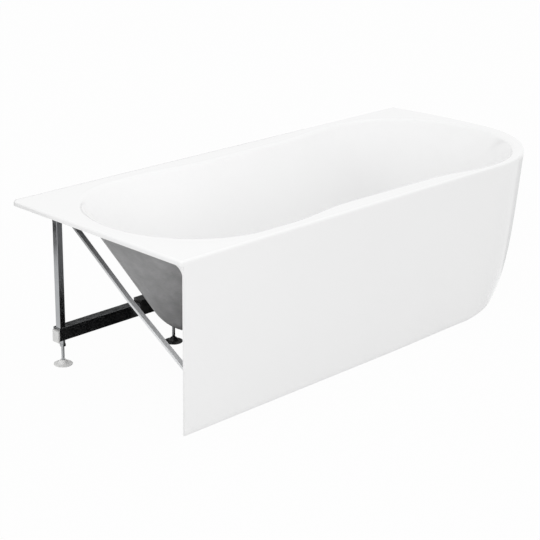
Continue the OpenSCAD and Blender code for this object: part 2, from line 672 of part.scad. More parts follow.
// Screws up through the cross members into the base board
screw_l = cross_h + board_t - 3;
module at_base_screws() for (x = [cross_x1, cross_x2], side = [-1, 1], y = screw_ys)
    translate([x + side * (cross_w / 2 - 6), y, cross_z]) children();
module base_screws() color(steel) at_middle() at_base_screws() {
    cylinder(r = screw_r, h = screw_l, $fn = 24);
    translate([0, 0, -2.6]) cylinder(r = 2 * screw_r, h = 2.6, $fn = 24);
}

// Waste: flange, seal, body, lifting plug and trap

throat_r = waste_hole_r - 2.5;
throat_t = 2.2;
flange_z = floor_z + 0.2;
throat_end = floor_z - 34;
stem_r = 3;
stem_gap = 0.1;
guide_z = floor_z - 16;
module waste_flange() color(chrome_grey) at_middle() at_waste() {
    rotate_extrude($fn = 64) polygon([
        [throat_r, throat_end], [throat_r, flange_z], [flange_r, flange_z], [flange_r, flange_z + 1],
        [flange_r - 2, flange_z + 2.2], [throat_r + 1, flange_z + 2.2], [throat_r - throat_t, flange_z - 3],
        [throat_r - throat_t, throat_end]]);
    difference() {
        union() {
            translate([0, 0, guide_z]) cylinder(r = stem_r + 3, h = 8, $fn = 32);
            for (turn = [0, 60, 120]) rotate([0, 0, turn])
                translate([-throat_r + 1, -1.2, guide_z]) cube([2 * throat_r - 2, 2.4, 4]);
        }
        translate([0, 0, guide_z - 1]) cylinder(r = stem_r + stem_gap, h = 12, $fn = 32);
    }
}

seal_t = 3;
seal_gap = 0.2;
module waste_seal() color(black) at_middle() at_waste()
    ring(flange_r + 1, waste_hole_r + 0.5, belly_z - seal_gap - seal_t, seal_t);

body_top = belly_z - 2 * seal_gap - seal_t;
body_r = waste_hole_r + 4;
body_z = body_top - 40;
inlet_z = body_top - 18;
spigot_r = hose_r - 4.5;
inlet_y = bowl_y - 62;
module waste_body() color(pale_grey) at_middle() difference() {
    union() {
        at_waste() translate([0, 0, body_top - 4]) cylinder(r = flange_r + 2, h = 4, $fn = 64);
        at_waste() translate([0, 0, body_z]) cylinder(r = body_r, h = body_top - body_z, $fn = 64);
        translate([waste_x, inlet_y, inlet_z]) rotate([-90, 0, 0])
            cylinder(r = spigot_r, h = bowl_y - inlet_y - body_r + 4, $fn = 48);
        translate([waste_x + cable_off, bowl_y - body_r - 8, cable_end_z]) rotate([-90, 0, 0])
            cylinder(r = cable_r + 2.5, h = body_r, $fn = 32);
    }
    at_waste() translate([0, 0, body_z + 4]) cylinder(r = throat_r + 0.3, h = 60, $fn = 64);
    translate([waste_x, inlet_y - 1, inlet_z]) rotate([-90, 0, 0])
        cylinder(r = spigot_r - 2, h = bowl_y - inlet_y, $fn = 48);
    translate([waste_x + cable_off, bowl_y - body_r - 9, cable_end_z]) rotate([-90, 0, 0])
        cylinder(r = cable_r + 0.3, h = 7, $fn = 32);
}

plug_r = throat_r + 6;
plug_z = flange_z + 2.6;
plug_t = 3;
module waste_plug() color(chrome_grey) at_middle() at_waste() rotate_extrude($fn = 64) polygon([
    [0, guide_z - 6], [stem_r, guide_z - 6], [stem_r, plug_z - 4], [stem_r + 4, plug_z],
    [plug_r - 1, plug_z], [plug_r, plug_z + 1], [plug_r - 2, plug_z + plug_t - 0.6],
    [plug_r / 2, plug_z + plug_t + 1.4], [0, plug_z + plug_t + 2]]);
module plug_seal() color(black) at_middle() at_waste()
    ring(throat_r - throat_t - 1, stem_r + 5, plug_z - 3, 2.8);

trap_r = 40;
trap_z = 16;
trap_top = body_z - 8;
outlet_z = 40;
outlet_from = bowl_y + trap_r - 6;
outlet_to = bowl_y + trap_r + 20;
grip_wall = 3.5;
module trap_body() color(pale_grey) at_middle() difference() {
    union() {
        at_waste() rotate_extrude($fn = 64) polygon([
            [0, trap_z], [trap_r - 6, trap_z], [trap_r, trap_z + 6], [trap_r, trap_top - 6],
            [trap_r - 5, trap_top], [body_r - 4, trap_top], [body_r - 4, body_z - seal_gap],
            [0, body_z - seal_gap]]);
        translate([waste_x, outlet_from, outlet_z]) rotate([-90, 0, 0])
            cylinder(r = pipe_r + 2, h = outlet_to - outlet_from, $fn = 48);
    }
    translate([waste_x, outlet_from - 4, outlet_z]) rotate([-90, 0, 0])
        cylinder(r = pipe_r - 2, h = 60, $fn = 48);
}
cup_z = 5;
module trap_cup() color(pale_grey) at_middle() at_waste() {
    translate([0, 0, cup_z]) cylinder(r = trap_r - 10, h = trap_z - seal_gap - cup_z, $fn = 64);
    for (turn = [0:30:150]) rotate([0, 0, turn])
        translate([-trap_r + 7, -2, cup_z]) cube([2 * trap_r - 14, 4, trap_z - seal_gap - cup_z - 2]);
}
// The nut's bore takes the waste pipe
nut_from = outlet_to + seal_gap;
module trap_nut() color(pale_grey) at_middle() translate([waste_x, nut_from, outlet_z]) rotate([-90, 0, 0])
    difference() {
        union() {
            cylinder(r = pipe_r + 6, h = pipe_grip - 6, $fn = 64);
            for (turn = [0:30:330]) rotate([0, 0, turn])
                translate([pipe_r + 4, -2, 0]) cube([grip_wall, 4, pipe_grip - 8]);
            cylinder(r = pipe_r + 3, h = pipe_grip, $fn = 64);
        }
        translate([0, 0, -1]) cylinder(r = pipe_r + 0.2, h = pipe_grip + 2, $fn = 64);
    }

// Overflow: face plate, turning knob, seal, body, hose and the cable that lifts the plug

face_z = 0.7;
face_t = 3;
spindle_r = 4;
spindle_gap = 0.1;
shell_back = -skin_out;
seal_back = shell_back - 0.6 - seal_t;
body_back = 30;
module overflow_face() color(chrome_grey) at_middle() on_overflow() difference() {
    union() {
        translate([0, 0, face_z]) cylinder(r = overflow_r - 2, h = face_t, $fn = 64);
        translate([0, 0, seal_back - 8]) cylinder(r = overflow_hole_r - 3, h = 10 - seal_back, $fn = 64);
    }
    translate([0, 0, seal_back - 9]) cylinder(r = spindle_r + spindle_gap, h = 40, $fn = 32);
    for (turn = [30:60:330]) rotate([0, 0, turn]) translate([overflow_hole_r - 10, 0, seal_back - 9])
        cylinder(r = 4.5, h = 40, $fn = 24);
}
module overflow_seal() color(black) at_middle() on_overflow()
    ring(overflow_hole_r + 9, overflow_hole_r + 0.5, seal_back, seal_t);
module overflow_knob() color(chrome_grey) at_middle() on_overflow() {
    translate([0, 0, seal_back - 10])
        cylinder(r = spindle_r, h = face_z + face_t + 14 - seal_back, $fn = 32);
    difference() {
        translate([0, 0, face_z + face_t + 4]) cylinder(r = overflow_r, h = 14, $fn = 64);
        for (turn = [0:45:315]) rotate([0, 0, turn])
            translate([overflow_r + 5, 0, face_z + face_t + 8]) cylinder(r = 8, h = 30, $fn = 32);
    }
}
outlet_down = 34;
// The hose leaves the overflow body straight down
elbow = [waste_x, overflow_at[1] - (body_back / 2 - seal_back) * cos(overflow_lean),
    overflow_at[2] - (body_back / 2 - seal_back) * sin(overflow_lean)];
module overflow_body() color(pale_grey) at_middle() difference() {
    union() {
        on_overflow() translate([0, 0, seal_back - 0.3 - 4])
            cylinder(r = overflow_hole_r + 10, h = 4, $fn = 64);
        on_overflow() translate([0, 0, seal_back - body_back])
            cylinder(r = overflow_hole_r - 1, h = body_back - 1, $fn = 64);
        translate([elbow[0], elbow[1], elbow[2] - overflow_hole_r - outlet_down])
            cylinder(r = spigot_r, h = overflow_hole_r + outlet_down, $fn = 48);
        translate([elbow[0] + cable_off, elbow[1], elbow[2] - 26])
            cylinder(r = cable_r + 2.5, h = 20, $fn = 32);
    }
    on_overflow() translate([0, 0, seal_back - body_back + 3])
        cylinder(r = overflow_hole_r - 2.7, h = body_back + 10, $fn = 64);
    translate([elbow[0], elbow[1], elbow[2] - overflow_hole_r - outlet_down - 1])
        cylinder(r = spigot_r - 2, h = overflow_hole_r + outlet_down, $fn = 48);
    translate([elbow[0] + cable_off, elbow[1], elbow[2] - 27])
        cylinder(r = cable_r + 0.3, h = 7, $fn = 32);
}

// Routes are lists of points, rounded into one smooth curve
function spline(p, i, t) =
    let(n = len(p) - 1, a = p[max(0, i - 1)], b = p[i], c = p[min(n, i + 1)], d = p[min(n, i + 2)])
    0.5 * (2 * b + (c - a) * t + (2 * a - 5 * b + 4 * c - d) * t * t + (3 * b - a - 3 * c + d) * t * t * t);
function smooth(p, steps) = concat([for (i = [0:len(p) - 2], k = [0:steps - 1]) spline(p, i, k / steps)],
    [p[len(p) - 1]]);
function runs(p, i = 0, sum = 0) =
    i == len(p) - 1 ? [sum] : concat([sum], runs(p, i + 1, sum + norm(p[i + 1] - p[i])));
// Points at an even spacing along a curve
function evenly(p, count) =
    let(r = runs(p), total = r[len(r) - 1])
    [for (k = [0:count])
        let(at = total * k / count, i = max([for (j = [0:len(r) - 2]) r[j] <= at ? j : 0]))
        p[i] + (p[i + 1] - p[i]) * (at - r[i]) / (r[i + 1] - r[i])];
function unit(v) = v / norm(v);
// A ring square to a route that stays in a plane of constant X
function hoop(p, i, r, sides) =
    let(way = unit(p[min(len(p) - 1, i + 1)] - p[max(0, i - 1)]), side = [1, 0, 0],
        up = cross(way, side))
    [for (k = [0:sides - 1]) p[i] + r * (cos(360 * k / sides) * side + sin(360 * k / sides) * up)];
hose_sides = 8;
rib_h = 2;
// The bore's flats clear the spigots that the hose is pushed on
hose_bore_r = (spigot_r + 0.3) / cos(180 / hose_sides);

clip_l = 12;
hose_over = 24;
hose_start = [elbow[0], elbow[1], elbow[2] - overflow_hole_r - outlet_down + hose_over];
hose_end = [waste_x, inlet_y + hose_over, inlet_z];
hose_turn_y = elbow[1] + 75;
hose_route = [hose_start, hose_start - [0, 0, 40], [waste_x, elbow[1], 240],
    [waste_x, elbow[1] + 8, 190], [waste_x, elbow[1] + 32, 154], [waste_x, hose_turn_y, 132.5],
    [waste_x, hose_turn_y + 34, 116.5], [waste_x, hose_turn_y + 66, inlet_z + 13],
    [waste_x, hose_turn_y + 100, inlet_z + 2], [waste_x, hose_turn_y + 132, inlet_z],
    hose_end - [0, 40, 0], hose_end];
hose_curve = smooth(hose_route, 6);
hose_l = runs(hose_curve)[len(hose_curve) - 1];
hose_ribs = floor(hose_l / hose_pitch);
hose_points = evenly(hose_curve, 2 * hose_ribs);
module overflow_hose() color(pale_grey) at_middle() {
    n = 2 * hose_ribs;
    outer = [for (i = [0:n])
        hoop(hose_points, i, i % 2 == 0 ? hose_r - rib_h : hose_r, hose_sides)];
    inner = [for (i = [0:4:n]) hoop(hose_points, i, hose_bore_r, hose_sides)];
    last = n % 4 == 0 ? [] : [hoop(hose_points, n, hose_bore_r, hose_sides)];
    pipe(outer, concat(inner, last));
}
// A tube from the rings of its outside and of its bore
module pipe(outer, inner) {
    n = len(outer[0]);
    rings = concat(outer, reversed(inner));
    m = len(rings);
    polyhedron([for (r = rings) each r], [for (j = [0:m - 1], i = [0:n - 1])
        let(a = j * n + i, b = j * n + (i + 1) % n, c = ((j + 1) % m) * n + i,
            d = ((j + 1) % m) * n + (i + 1) % n)
        each [[a, b, d], [a, d, c]]], convexity = 10);
}
module hose_clips() color(steel) at_middle() {
    translate([hose_start[0], hose_start[1], hose_start[2] - hose_over / 2 - clip_l / 2])
        ring(hose_r + 2, hose_r + 0.4, 0, clip_l);
    translate([hose_end[0], hose_end[1] - hose_over / 2 - clip_l / 2, hose_end[2]]) rotate([-90, 0, 0])
        ring(hose_r + 2, hose_r + 0.4, 0, clip_l);
}

cable_r = 3;
cable_off = 24;
cable_end_z = inlet_z - 6;
cable_start = [waste_x + cable_off, elbow[1], elbow[2] - 20.3];
cable_end = [waste_x + cable_off, bowl_y - body_r - 2.3, cable_end_z];
cable_x = waste_x + cable_off;
cable_route = [cable_start, cable_start - [0, 0, 30], [cable_x, elbow[1] - 2, 260],
    [cable_x, elbow[1] + 2, 190], [cable_x, elbow[1] + 26, 145], [cable_x, hose_turn_y, 124],
    [cable_x, hose_turn_y + 36, 108], [cable_x, hose_turn_y + 70, cable_end_z + 10],
    [cable_x, hose_turn_y + 110, cable_end_z + 1],
    [cable_x, hose_turn_y + 150, cable_end_z], cable_end - [0, 30, 0], cable_end];
module pull_cable() color(black) at_middle() {
    points = evenly(smooth(cable_route, 5), 48);
    stack([for (i = [0:48]) hoop(points, i, cable_r, 8)]);
}

tub_shell();
bowl_backing();
apron();
apron_bond();
base_board();
rim_batten();
deck_block_left();
deck_block_right();
rear_rail();
rail_cap_left();
rail_cap_right();
front_rail();
cross_member_left();
cross_member_right();
rear_saddles();
front_saddles();
upright_left();
upright_right();
upright_brackets();
apron_brace();
apron_stays();
apron_cleats();
stud_bushes();
lock_nuts();
base_screws();
pad_rear_left();
pad_rear_right();
pad_back_left();
pad_back_right();
pad_front_left();
pad_front_right();
stud_rear_left();
stud_rear_right();
stud_back_left();
stud_back_right();
stud_front_left();
stud_front_right();
waste_flange();
waste_seal();
waste_body();
waste_plug();
plug_seal();
trap_body();
trap_cup();
trap_nut();
overflow_face();
overflow_seal();
overflow_body();
overflow_knob();
overflow_hose();
hose_clips();
pull_cable();
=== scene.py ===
"""A back-to-wall bathtub with a wrap-round apron, dressed over its packed frame."""

from collections import namedtuple
from math import acos, asin, atan, cos, pi, radians, sin, sqrt, tan

import bmesh
import bpy
import numpy as np
from bpy.props import FloatProperty, FloatVectorProperty, IntProperty, PointerProperty
from mathutils import Matrix, Vector


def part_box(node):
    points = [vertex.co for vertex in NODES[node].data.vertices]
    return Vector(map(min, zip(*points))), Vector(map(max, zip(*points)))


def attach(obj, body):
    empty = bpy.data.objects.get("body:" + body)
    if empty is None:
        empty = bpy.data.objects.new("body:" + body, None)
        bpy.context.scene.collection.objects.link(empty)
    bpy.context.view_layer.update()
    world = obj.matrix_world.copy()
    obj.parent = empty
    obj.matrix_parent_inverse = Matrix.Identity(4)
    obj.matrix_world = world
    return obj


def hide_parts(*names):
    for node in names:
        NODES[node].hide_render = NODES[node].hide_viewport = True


bl_info = {
    "name": "Back-to-wall bathtub",
    "version": (1, 0, 0),
    "blender": (4, 5, 0),
    "location": "View3D > Sidebar > Bathtub",
    "description": "Dresses the packed bathtub: shell, apron, frame, feet, waste and stage",
    "category": "Object",
}

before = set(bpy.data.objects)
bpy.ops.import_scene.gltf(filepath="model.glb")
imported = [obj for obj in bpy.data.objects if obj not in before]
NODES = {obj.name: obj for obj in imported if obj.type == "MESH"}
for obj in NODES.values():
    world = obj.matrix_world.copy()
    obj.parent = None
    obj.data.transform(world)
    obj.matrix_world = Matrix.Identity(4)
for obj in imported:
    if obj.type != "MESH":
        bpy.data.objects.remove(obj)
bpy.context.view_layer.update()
SHELL_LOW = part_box("tub_shell")[0]

FEET = ("rear_left", "rear_right", "back_left", "back_right", "front_left", "front_right")


# Sizes and colours that a user would change


def setting(kind, **fixed):
    """A function that makes one kind of setting from its name, description and default."""
    return lambda name, description, default: kind(
        name=name, description=description, default=default, **fixed)


length = setting(FloatProperty, min=0.0, max=4.0, unit="LENGTH", precision=4)
angle = setting(FloatProperty, min=0.0, max=radians(60), subtype="ANGLE")
share = setting(FloatProperty, min=0.0, max=1.0)
strength = setting(FloatProperty, min=0.0, max=3.0)
power = setting(FloatProperty, min=0.0, max=500.0, subtype="POWER")
focal = setting(FloatProperty, min=10.0, max=400.0)
facets = setting(IntProperty, min=8, max=64)
colour = setting(FloatVectorProperty, size=3, min=0.0, max=1.0, subtype="COLOR")


class BathTubShape(bpy.types.PropertyGroup):
    """Plan, rim and bowl of the tub."""

    length: length("Length", "Overall length along the back wall", 1.700)
    width: length("Width", "Overall width, front face to back wall", 0.725)
    height: length("Height", "Height of the rim above the floor", 0.495)
    corner_radius: length("Corner radius", "Plan radius of the free front corner", 0.345)
    end_radius: length("End radius", "Plan radius of the bowed right end", 1.825)
    back_corner_radius: length("Back corner", "Plan radius of the back left corner", 0.018)
    front_corner_radius: length("Front corner", "Plan radius of the front left corner", 0.009)
    sheet: length("Sheet", "Thickness of the acrylic sheet", 0.005)
    lip_height: length("Lip", "Height of the turned-down edge of the rim", 0.015)
    edge_radius: length("Edge radius", "Rounding of the rim's outer edge", 0.008)
    roll_radius: length("Roll radius", "Rounding where the rim turns into the bowl", 0.014)
    bowl_depth: length("Bowl depth", "Depth of the bowl below the rim", 0.377)
    bowl_centre: length("Bowl centre", "Distance from the front face to the bowl's middle", 0.356)
    rim_left: length("Left rim", "Width of the rim at the left end", 0.048)
    rim_right: length("Right rim", "Width of the rim at the right end", 0.044)
    head_centre: length("Head centre", "From the left end to the head curve's centre", 0.345)
    foot_back: length("Foot centre", "From the right end to the foot curve's centre", 0.368)
    head_half: length("Head half width", "Half width of the opening at the head", 0.316)
    foot_half: length("Foot half width", "Half width of the opening at the foot", 0.335)
    arm_rest: length("Arm rest", "How far the arm rests stand into the bowl", 0.030)
    head_dip: length("Head dip", "How far the backrest rolls in below the rim", 0.008)
    head_lean: angle("Backrest lean", "Lean of the backrest from upright", radians(32.6))
    head_side_lean: angle("Head side lean", "Lean of the side walls at the head", radians(23))
    foot_lean: angle("Foot lean", "Lean of the foot end wall", radians(20))
    foot_side_lean: angle("Foot side lean", "Lean of the side walls at the foot", radians(14))
    head_fillet: length("Head fillet", "Radius between backrest and floor", 0.118)
    head_side_fillet: length("Head side fillet", "Radius between head side walls and floor", 0.140)
    foot_fillet: length("Foot fillet", "Radius between foot walls and floor", 0.110)
    backing: length("Backing", "Thickness of the glass-fibre backing", 0.004)
    glue: length("Glue line", "Gap between bonded pieces", 0.0003)


class BathApronShape(bpy.types.PropertyGroup):
    """The skirt under the front and the right end."""

    thickness: length("Thickness", "Thickness of the apron", 0.006)
    start: length("Start", "Distance from the left end to the apron's edge", 0.008)
    taper: length("Draw-in", "How far the apron draws in at the floor", 0.065)
    draw_early: length("Early draw-in", "Distance from the right end where it begins", 0.900)
    draw_share: share("Early share", "Share of the draw-in reached before the corner", 0.1)
    draw_main: length("Main draw-in", "Distance from the right end where most of it begins", 0.490)
    draw_length: length("Draw-in length", "Length over which the main draw-in grows", 0.300)
    web: length("Fillet", "Radius of the fillet between the rim and the left edge", 0.028)
    web_start: length("Fillet start", "Distance from the left end to the fillet", 0.002)


class BathFittings(bpy.types.PropertyGroup):
    """Threads, hose and cable."""

    thread_pitch: length("Thread pitch", "Pitch of the levelling studs", 0.0015)
    thread_depth: length("Thread depth", "Depth of the levelling studs' thread", 0.00045)
    nut_width: length("Nut width", "Lock nut width across its flats", 0.017)
    rib_pitch: length("Rib pitch", "Distance between the hose's ribs", 0.006)
    rib_height: length("Rib height", "Height of the hose's ribs", 0.002)
    hose_radius: length("Hose radius", "Outer radius of the hose over its ribs", 0.016)
    cable_radius: length("Cable radius", "Outer radius of the cable's sheath", 0.003)
    hose_sides: facets("Hose sides", "Facets round the hose", 20)


class BathColours(bpy.types.PropertyGroup):
    """Colours and gloss of the bath's finishes."""

    acrylic: colour("Acrylic", "White of the tub and apron", (0.95, 0.95, 0.95))
    acrylic_gloss: share("Acrylic roughness", "Roughness of the acrylic", 0.11)
    backing: colour("Backing", "Grey of the glass-fibre resin", (0.41, 0.41, 0.415))
    zinc: colour("Zinc", "Colour of the bright zinc plate", (0.42, 0.43, 0.44))
    satin_zinc: colour("Satin zinc", "Colour of the apron brace", (0.66, 0.67, 0.68))
    black_steel: colour("Black steel", "Colour of the coated saddles", (0.012, 0.012, 0.012))
    black_plastic: colour("Black plastic", "Colour of the inner foot pads", (0.015, 0.015, 0.016))
    pale_plastic: colour("Pale plastic", "Colour of the rear pads and end caps", (0.80, 0.80, 0.79))
    white_plastic: colour("White plastic", "Colour of the waste and trap", (0.75, 0.75, 0.74))
    hose: colour("Hose", "Colour of the overflow hose", (0.55, 0.56, 0.57))
    rubber: colour("Rubber", "Colour of seals and cable", (0.02, 0.02, 0.02))
    wood: colour("Wood", "Colour of the boards", (0.50, 0.36, 0.22))
    chrome: colour("Chrome", "Colour of the bright fittings", (0.80, 0.81, 0.82))


class BathStage(bpy.types.PropertyGroup):
    """Floor, light and camera."""

    floor: colour("Floor", "Colour of the floor", (0.60, 0.60, 0.60))
    # The cards are painted shade under the bowl and painted reflections behind the rail and past
    # the free end
    dark_card: colour("Dark card", "Colour of the cards that the steel mirrors", (0.02, 0.02, 0.02))
    grey_card: colour("Grey card", "Colour of the card past the free end", (0.72, 0.72, 0.72))
    ambient: strength("Ambient", "Strength of the room light", 0.92)
    fill_light: power("Fill light", "Power of the lamp at the free end", 6.0)
    key_light: power("Key light", "Power of the lamp at the front left", 5.0)
    side_light: power("Side light", "Power of the low lamp at the side", 20.0)
    lens: focal("Lens", "Focal length on a 36 mm sensor", 103.78)


# Mesh helpers


def ease(t):
    t = min(1.0, max(0.0, t))
    return t * t * (3 - 2 * t)


def to_frame(points):
    """Moves points from the floor corner under the left front to the frame's origin."""
    return np.asarray(points, float) + np.array([SHELL_LOW.x, SHELL_LOW.y, 0.0])


def upright_axis(name):
    """Where the upright axis of a CAD node stands, and its lowest and highest point."""
    low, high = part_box(name)
    return (low.x + high.x) / 2, (low.y + high.y) / 2, low.z, high.z


def level_ring(x, y, radius, z, count):
    """Points round an upright axis; radius and height may differ from point to point."""
    turns = 2 * np.pi * np.arange(count) / count
    ring = np.empty((count, 3))
    ring[:, 0], ring[:, 1] = x + radius * np.cos(turns), y + radius * np.sin(turns)
    ring[:, 2] = z
    return ring


def put(name, data):
    """A new object of the scene that holds a mesh, a lamp or the camera."""
    thing = bpy.data.objects.new(name, data)
    bpy.context.scene.collection.objects.link(thing)
    return thing


def add_piece(name, mesh, finishes, body, node, crease):
    """Links a finished mesh as a piece that rides on a body and stands for a CAD node."""
    for slot_name in finishes:
        mesh.materials.append(finish(slot_name))
    mesh.shade_smooth()
    mesh.set_sharp_from_angle(angle=radians(crease))
    piece = put(name, mesh)
    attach(piece, body)
    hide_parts(node)
    return piece


def mesh_of(name, points, faces, marks=None):
    """A mesh with outward normals from points and faces, with a material index for each face."""
    mesh = bpy.data.meshes.new(name)
    mesh.from_pydata([tuple(p) for p in points], [], faces)
    if marks is not None:
        mesh.polygons.foreach_set("material_index", marks)
    form = bmesh.new()
    form.from_mesh(mesh)
    bmesh.ops.recalc_face_normals(form, faces=form.faces)
    form.to_mesh(mesh)
    form.free()
    return mesh


def stack_faces(rings, count, closed=False):
    """Quads between equal rings of count points; closed joins the last ring to the first."""
    faces = []
    for j in range(rings if closed else rings - 1):
        for i in range(count):
            a, b = j * count + i, j * count + (i + 1) % count
            c, d = ((j + 1) % rings) * count + (i + 1) % count, ((j + 1) % rings) * count + i
            faces.append((a, b, c, d))
    return faces


def capped_stack(rings):
    """Points and faces of a stack of rings with a fan over both ends."""
    count = len(rings[0])
    points = [p for ring in rings for p in ring]
    faces = stack_faces(len(rings), count)
    for j in (0, len(rings) - 1):
        centre = len(points)
        ring = np.asarray(rings[j])
        points.append((ring.max(0) + ring.min(0)) / 2)
        faces += [(j * count + i, j * count + (i + 1) % count, centre) for i in range(count)]
    return points, faces


HOLE_RADIUS, HOLE_SIDES = 0.026, 64
WASTE_REACH, OVERFLOW_REACH = 0.06, 0.035


def cut_round_hole(mesh, centre, way, reach):
    """Cuts a round hole through a mesh along a direction."""
    turn = Vector(way).to_track_quat("Z", "Y").to_matrix().to_4x4()
    cutter_mesh = bpy.data.meshes.new("hole_cutter")
    form = bmesh.new()
    bmesh.ops.create_cone(form, cap_ends=True, segments=HOLE_SIDES, radius1=HOLE_RADIUS,
                          radius2=HOLE_RADIUS, depth=2 * reach,
                          matrix=Matrix.Translation(centre) @ turn)
    form.to_mesh(cutter_mesh)
    form.free()
    cutter, target = put("hole_cutter", cutter_mesh), put("hole_target", mesh)
    cut = target.modifiers.new("hole", "BOOLEAN")
    cut.operation = "DIFFERENCE"
    cut.solver = "EXACT"
    cut.object = cutter
    graph = bpy.context.evaluated_depsgraph_get()
    result = bpy.data.meshes.new_from_object(target.evaluated_get(graph))
    name = mesh.name
    for helper in (target, cutter):
        bpy.data.objects.remove(helper)
    for used in (mesh, cutter_mesh):
        bpy.data.meshes.remove(used)
    result.name = name
    return result


def node_way(name):
    """Middle of a CAD node and the direction of its thinnest extent, from its vertices."""
    co = np.array([v.co for v in NODES[name].data.vertices])
    middle = (co.max(0) + co.min(0)) / 2
    spread = np.linalg.svd(co - co.mean(0), full_matrices=False)[2]
    return Vector(middle), Vector(spread[2])


def cut_fitting_holes(mesh):
    """Cuts the holes of the waste and the overflow through a skin of the bowl."""
    low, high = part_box("waste_flange")
    mesh = cut_round_hole(mesh, (low + high) / 2, (0, 0, 1), WASTE_REACH)
    return cut_round_hole(mesh, *node_way("overflow_seal"), OVERFLOW_REACH)


EDGE_ANGLE = radians(35)
EDGE_SEGMENTS, WELD_DISTANCE = 2, 1e-5


def round_edges(node, width):
    """Rounds the sharp edges of a CAD node with modifiers, and shades it smooth."""
    mesh = node.data
    if "custom_normal" in mesh.attributes:
        mesh.attributes.remove(mesh.attributes["custom_normal"])
    mesh.shade_smooth()
    weld = node.modifiers.new("weld", "WELD")
    weld.merge_threshold = WELD_DISTANCE
    bevel = node.modifiers.new("rounded edges", "BEVEL")
    bevel.width = width
    bevel.segments = EDGE_SEGMENTS
    bevel.limit_method = "ANGLE"
    bevel.angle_limit = EDGE_ANGLE
    bevel.harden_normals = True
    bevel.use_clamp_overlap = True


def finish_nodes(rows):
    """Gives CAD nodes their finish and, where a row has a width in metres, rounded edges."""
    for slot_name, width, names in rows:
        material = finish(slot_name)
        for node in (NODES[name] for name in names):
            if not node.material_slots:
                node.data.materials.append(material)
            for slot in node.material_slots:
                slot.material = material
            if width:
                round_edges(node, width)
    return {"FINISHED"}


# Materials

WHITE = (1.0, 1.0, 1.0)


class NodeWork:
    """A material or a world under construction, by short calls that add and link its nodes."""

    def __init__(self, block, shader="Principled BSDF", output="Material Output"):
        block.use_nodes = True
        self.tree = block.node_tree
        self.surface = self.tree.nodes[shader]
        self.output = self.tree.nodes[output]

    def add(self, kind, **values):
        node = self.tree.nodes.new(kind)
        for key, value in values.items():
            if hasattr(node, key):
                setattr(node, key, value)
            else:
                node.inputs[key].default_value = value
        return node

    def link(self, source, target):
        self.tree.links.new(source, target)

    def feed(self, source, name):
        self.link(source, self.surface.inputs[name])

    def set(self, values):
        for key, value in values.items():
            self.surface.inputs[key].default_value = value

    def reckon(self, operation, *values):
        """The result of a sum of sockets and numbers."""
        node = self.add("ShaderNodeMath", operation=operation)
        for value, socket in zip(values, node.inputs):
            if isinstance(value, float):
                socket.default_value = value
            else:
                self.link(value, socket)
        return node.outputs[0]

    def seen_directly(self):
        """A socket that is 1 for camera, glossy and transmission rays, and 0 for the rest."""
        path = self.add("ShaderNodeLightPath")
        total = path.outputs["Is Camera Ray"]
        for name in ("Is Glossy Ray", "Is Transmission Ray"):
            total = self.reckon("MAXIMUM", total, path.outputs[name])
        return total

    def cover(self, other, amount):
        """Shows another shader over the surface, by an amount from 0 to 1."""
        mix = self.add("ShaderNodeMixShader")
        sources = (amount, self.surface.outputs[0], other.outputs[0])
        for source, socket in zip(sources, mix.inputs):
            self.link(source, socket)
        self.link(mix.outputs[0], self.output.inputs["Surface"])


class Shader(NodeWork):
    """The material of a finish, with noises over the object's own place."""

    def __init__(self, name):
        self.material = bpy.data.materials.new(name)
        super().__init__(self.material)
        self.place = self.add("ShaderNodeTexCoord").outputs["Object"]

    def noise(self, scale, detail, rough=0.5, stretch=(1, 1, 1)):
        mapping = self.add("ShaderNodeMapping", Scale=stretch)
        self.link(self.place, mapping.inputs["Vector"])
        node = self.add("ShaderNodeTexNoise", Scale=scale, Detail=detail, Roughness=rough)
        self.link(mapping.outputs["Vector"], node.inputs["Vector"])
        return node.outputs["Fac"]

    def ramp(self, value, base, stops):
        """A base colour, lighter or darker by a value: each stop is a position and a factor."""
        node = self.add("ShaderNodeValToRGB")
        ramp = node.color_ramp
        while len(ramp.elements) < len(stops):
            ramp.elements.new(0.5)
        for element, (at, times) in zip(ramp.elements, stops):
            element.position = at
            element.color = (*(min(1.0, c * times) for c in base), 1.0)
        self.link(value, node.inputs["Fac"])
        return node.outputs["Color"]

    def spread(self, value, low, high, start=0.0, end=1.0):
        """A value from start to end, spread over low to high."""
        node = self.add("ShaderNodeMapRange")
        for name, number in (("From Min", start), ("From Max", end), ("To Min", low),
                             ("To Max", high)):
            node.inputs[name].default_value = number
        self.link(value, node.inputs["Value"])
        return node.outputs["Result"]

    def bump(self, value, depth, strength):
        node = self.add("ShaderNodeBump", Strength=strength, Distance=depth)
        self.link(value, node.inputs["Height"])
        self.feed(node.outputs["Normal"], "Normal")


# Recipes of the plain finishes. Tint, gloss and grain are the scale, detail, roughness and stretch
# of a noise; contrast is the share by which the colour varies, and depth is in metres.
Recipe = namedtuple("Recipe", "tint contrast gloss grain depth strength values")
SKIN = Recipe((3.0, 2.0), 0.004, (9.0, 3.0), (18.0, 2.0), 0.00012, 0.35, {"IOR": 1.49})
ZINC = Recipe((14.0, 4.0, 0.6), 0.06, (40.0, 5.0), (120.0, 3.0, 0.5, (0.15, 0.15, 1.0)),
              0.00008, 0.4, {"Metallic": 1.0})
COAT = Recipe((12.0, 3.0), 0.05, (30.0, 4.0), (90.0, 4.0), 0.00015, 0.5, {})
CHROME = Recipe((20.0, 2.0), 0.02, (50.0, 3.0), None, 0.0, 0.0, {"Metallic": 1.0})
TINT_FROM, TINT_TO = 0.3, 0.7
GLOSS_BELOW, GLOSS_ABOVE = 0.03, 0.04


def grained(name, recipe, low, high):
    """A material with a recipe's grain and a cloudy roughness, still without its colour."""
    shader = Shader(name)
    shader.feed(shader.spread(shader.noise(*recipe.gloss), low, high), "Roughness")
    if recipe.grain:
        shader.bump(shader.noise(*recipe.grain), recipe.depth, recipe.strength)
    return shader


